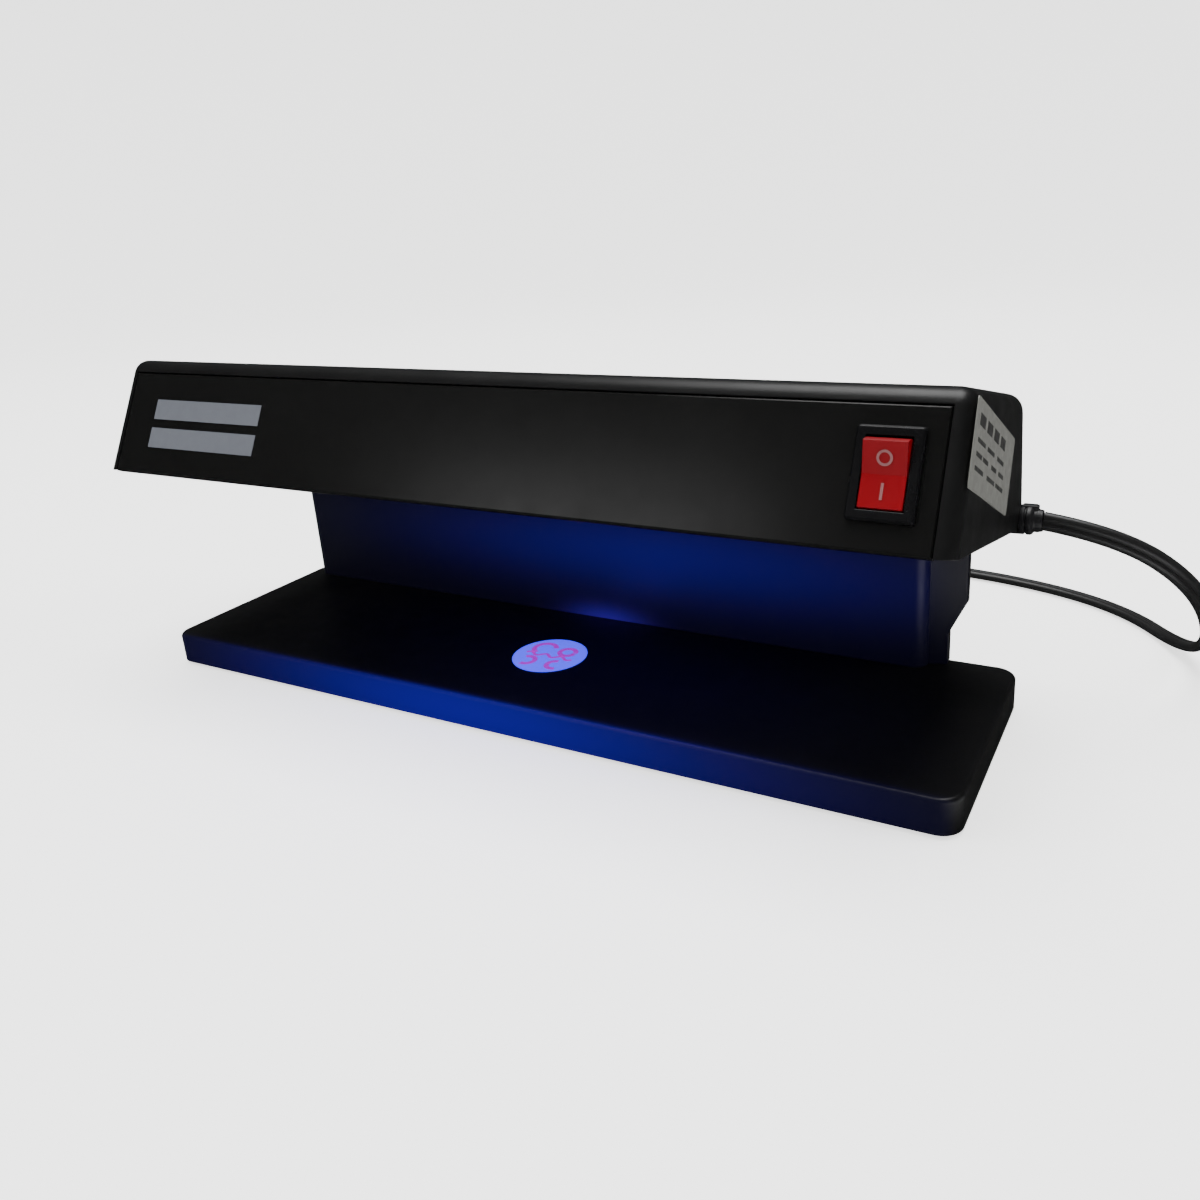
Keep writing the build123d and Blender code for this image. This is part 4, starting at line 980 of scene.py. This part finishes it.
@dataclass
class Printing:
    """The fluorescent test sticker, the side label and the printed bars."""

    sticker_at: Point = (0.9, 1.2, 11.25)
    label_at: Point = (135.65, -7.7, 86.5)
    label_tilt: float = 23.5
    strokes: tuple[tuple[float, float, float, float, float], ...] = (
        # centre x, centre y, radius, first and last angle in degrees
        (-4.2, 3.8, 3.6, 20.0, 250.0),
        (4.4, 3.8, 2.6, 0.0, 352.0),
        (5.4, -5.6, 2.6, 95.0, 300.0),
        (-5.0, -5.6, 2.6, -110.0, 130.0),
    )
    stroke_wide: float = 1.7
    thread_wide: float = 1.1
    thread_long: float = 17.0
    thread_swing: float = 0.9  # how far the thread's waves go each way
    thread_fore: float = 0.6  # how far it lies in front of the sticker's middle
    sticker_ink: float = 0.05  # how thick the ink is
    label_ink: float = 0.04
    rows: tuple[tuple[float, float, tuple[float, ...], float], ...] = (
        # height over the label's middle, how tall, where each dash starts, how long it is
        (5.6, 2.6, (-21.0, -12.0, -3.0, 6.0), 6.4),
        (1.2, 1.0, (-21.0, -9.0, 4.0), 9.0),
        (-1.8, 1.0, (-21.0, -13.0, -2.0, 8.0), 6.5),
        (-4.8, 1.0, (-21.0, -6.0, 6.0), 10.0),
    )

    def build(self) -> None:
        """Dresses the films and lays the printing on them."""
        dress(Shade.STICKER, ["test_sticker"])
        dress(Shade.LABEL, ["side_label"])
        dress(Shade.BARS, ["printed_bars"])
        self.sticker_marks()
        self.label_lines()

    def sticker_marks(self) -> None:
        """Open arcs, a ring and a wavy thread in fluorescent ink."""
        x0, y0, z0 = self.sticker_at
        surface = Surface()
        share = np.linspace(0.0, 1.0, 28)
        for x, y, radius, first, last in self.strokes:
            angle = np.radians(first + (last - first) * share)
            line = np.stack([x0 + x + radius * np.cos(angle), y0 + y + radius * np.sin(angle)], 1)
            line = np.column_stack([line, np.full(len(share), z0)])
            surface.grid(ribbon(line, self.stroke_wide, (0, 0, 1), self.sticker_ink))
        wave_x = x0 - self.thread_long / 2 + self.thread_long * share
        wave_y = y0 - self.thread_fore + self.thread_swing * np.sin(share * 6 * math.pi)
        wave = np.stack([wave_x, wave_y, np.full(len(share), z0)], axis=-1)
        surface.grid(ribbon(wave, self.thread_wide, (0, 0, 1), self.sticker_ink))
        piece = surface.object("sticker_marks", Shade.STICKER_MARK, False)
        keep(piece, HOUSING)

    def label_lines(self) -> None:
        """Rows of short dark dashes, as of small print, and one heavier row."""
        tilt = math.radians(-self.label_tilt)
        along = np.array([0.0, math.cos(tilt), math.sin(tilt)])
        up = np.array([0.0, -math.sin(tilt), math.cos(tilt)])
        surface = Surface()
        for height, thick, starts, dash in self.rows:
            for start in starts:
                ends = np.array([[start], [start + dash]])
                line = np.array(self.label_at) + ends * along + height * up
                line = line[0] + np.linspace(0, 1, 3)[:, None] * (line[1] - line[0])
                surface.grid(ribbon(line, thick, (1, 0, 0), self.label_ink))
        keep(surface.object("label_print", Shade.LABEL_PRINT, False), HOUSING)


# ======== Lamp ========


@dataclass
class LampUnit:
    """The lit tube, its caps, holders and reflector."""

    axis_y: float = -22.852
    axis_z: float = 85.600
    glass_radius: float = 7.75
    glass_half: float = 66.9
    glass_shoulder: float = 2.6  # radius of the rounding at its ends

    def build(self) -> None:
        """Dresses the fittings and blows the glass."""
        dress(Shade.ENAMEL, ["reflector"])
        dress(Shade.CERAMIC, ["lamp_holder_left", "lamp_holder_right"])
        dress(Shade.CERAMIC, ["holder_rotor_left", "holder_rotor_right"])
        dress(Shade.ALUMINIUM, ["tube_cap_left", "tube_cap_right"])
        dress(Shade.BRASS, ["tube_pins"])
        self.glass()

    def glass(self) -> None:
        """The tube: a long cylinder with quarter-round shoulders."""
        quarter = np.linspace(0.0, math.pi / 2, 9)
        end = self.glass_half - self.glass_shoulder * (1 - np.sin(quarter))
        radius = self.glass_radius - self.glass_shoulder * (1 - np.cos(quarter))
        straight = np.linspace(-60, 60, 25)
        along = np.concatenate([-end[::-1], straight, end])
        radii = np.concatenate([radius[::-1], np.full(len(straight), self.glass_radius), radius])
        order = np.argsort(along, kind="stable")
        profile = list(zip(along[order], radii[order]))
        surface = Surface().grid(turned(profile, (0.0, self.axis_y, self.axis_z), 56))
        piece = surface.object("blacklight_glass", Shade.GLASS)
        keep(piece, LAMP)
        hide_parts("uv_tube")


# ======== Switch ========


@dataclass
class SwitchUnit:
    """The rocker switch."""

    def build(self) -> None:
        """Dresses the switch."""
        dress(Shade.NYLON, ["switch_body"])
        dress(Shade.ROCKER, ["rocker"])
        dress(Shade.MARK, ["rocker_marks"])
        dress(Shade.BRASS, ["switch_terminals"])


# ======== Ballast and wires ========


@dataclass
class Ballast:
    """The electronic ballast's board, what stands on it, and the wires inside the hood."""

    def build(self) -> None:
        """Dresses the board and the wires."""
        dress(Shade.BOARD, ["ballast_board"])
        dress(Shade.FERRITE, ["choke_core"])
        dress(Shade.TAPE, ["choke_winding"])
        dress(Shade.CAN, ["smoothing_capacitor"])
        dress(Shade.DIPPED, ["film_capacitors"])
        dress(Shade.EPOXY, ["transistors"])
        dress(Shade.RESISTOR, ["fuse_resistor"])
        wires = [f"lamp_wire_{side}_{n}" for side in ("left", "right") for n in (1, 2)]
        dress(Shade.WHITE_WIRE, wires)
        dress(Shade.BROWN_WIRE, ["live_wire", "switched_wire"])
        dress(Shade.BLUE_WIRE, ["neutral_wire"])


# ======== Build ========


def main() -> None:
    """Builds the studio and every sub-assembly, in order."""
    logging.basicConfig(level=logging.INFO, format="%(name)s: %(message)s")
    parts: list[Callable[[], None]] = [
        Studio().build,
        MainsLead().build,
        Housing().build,
        Printing().build,
        LampUnit().build,
        SwitchUnit().build,
        Ballast().build,
    ]
    for build in parts:
        build()


if __name__ == "__main__":
    main()
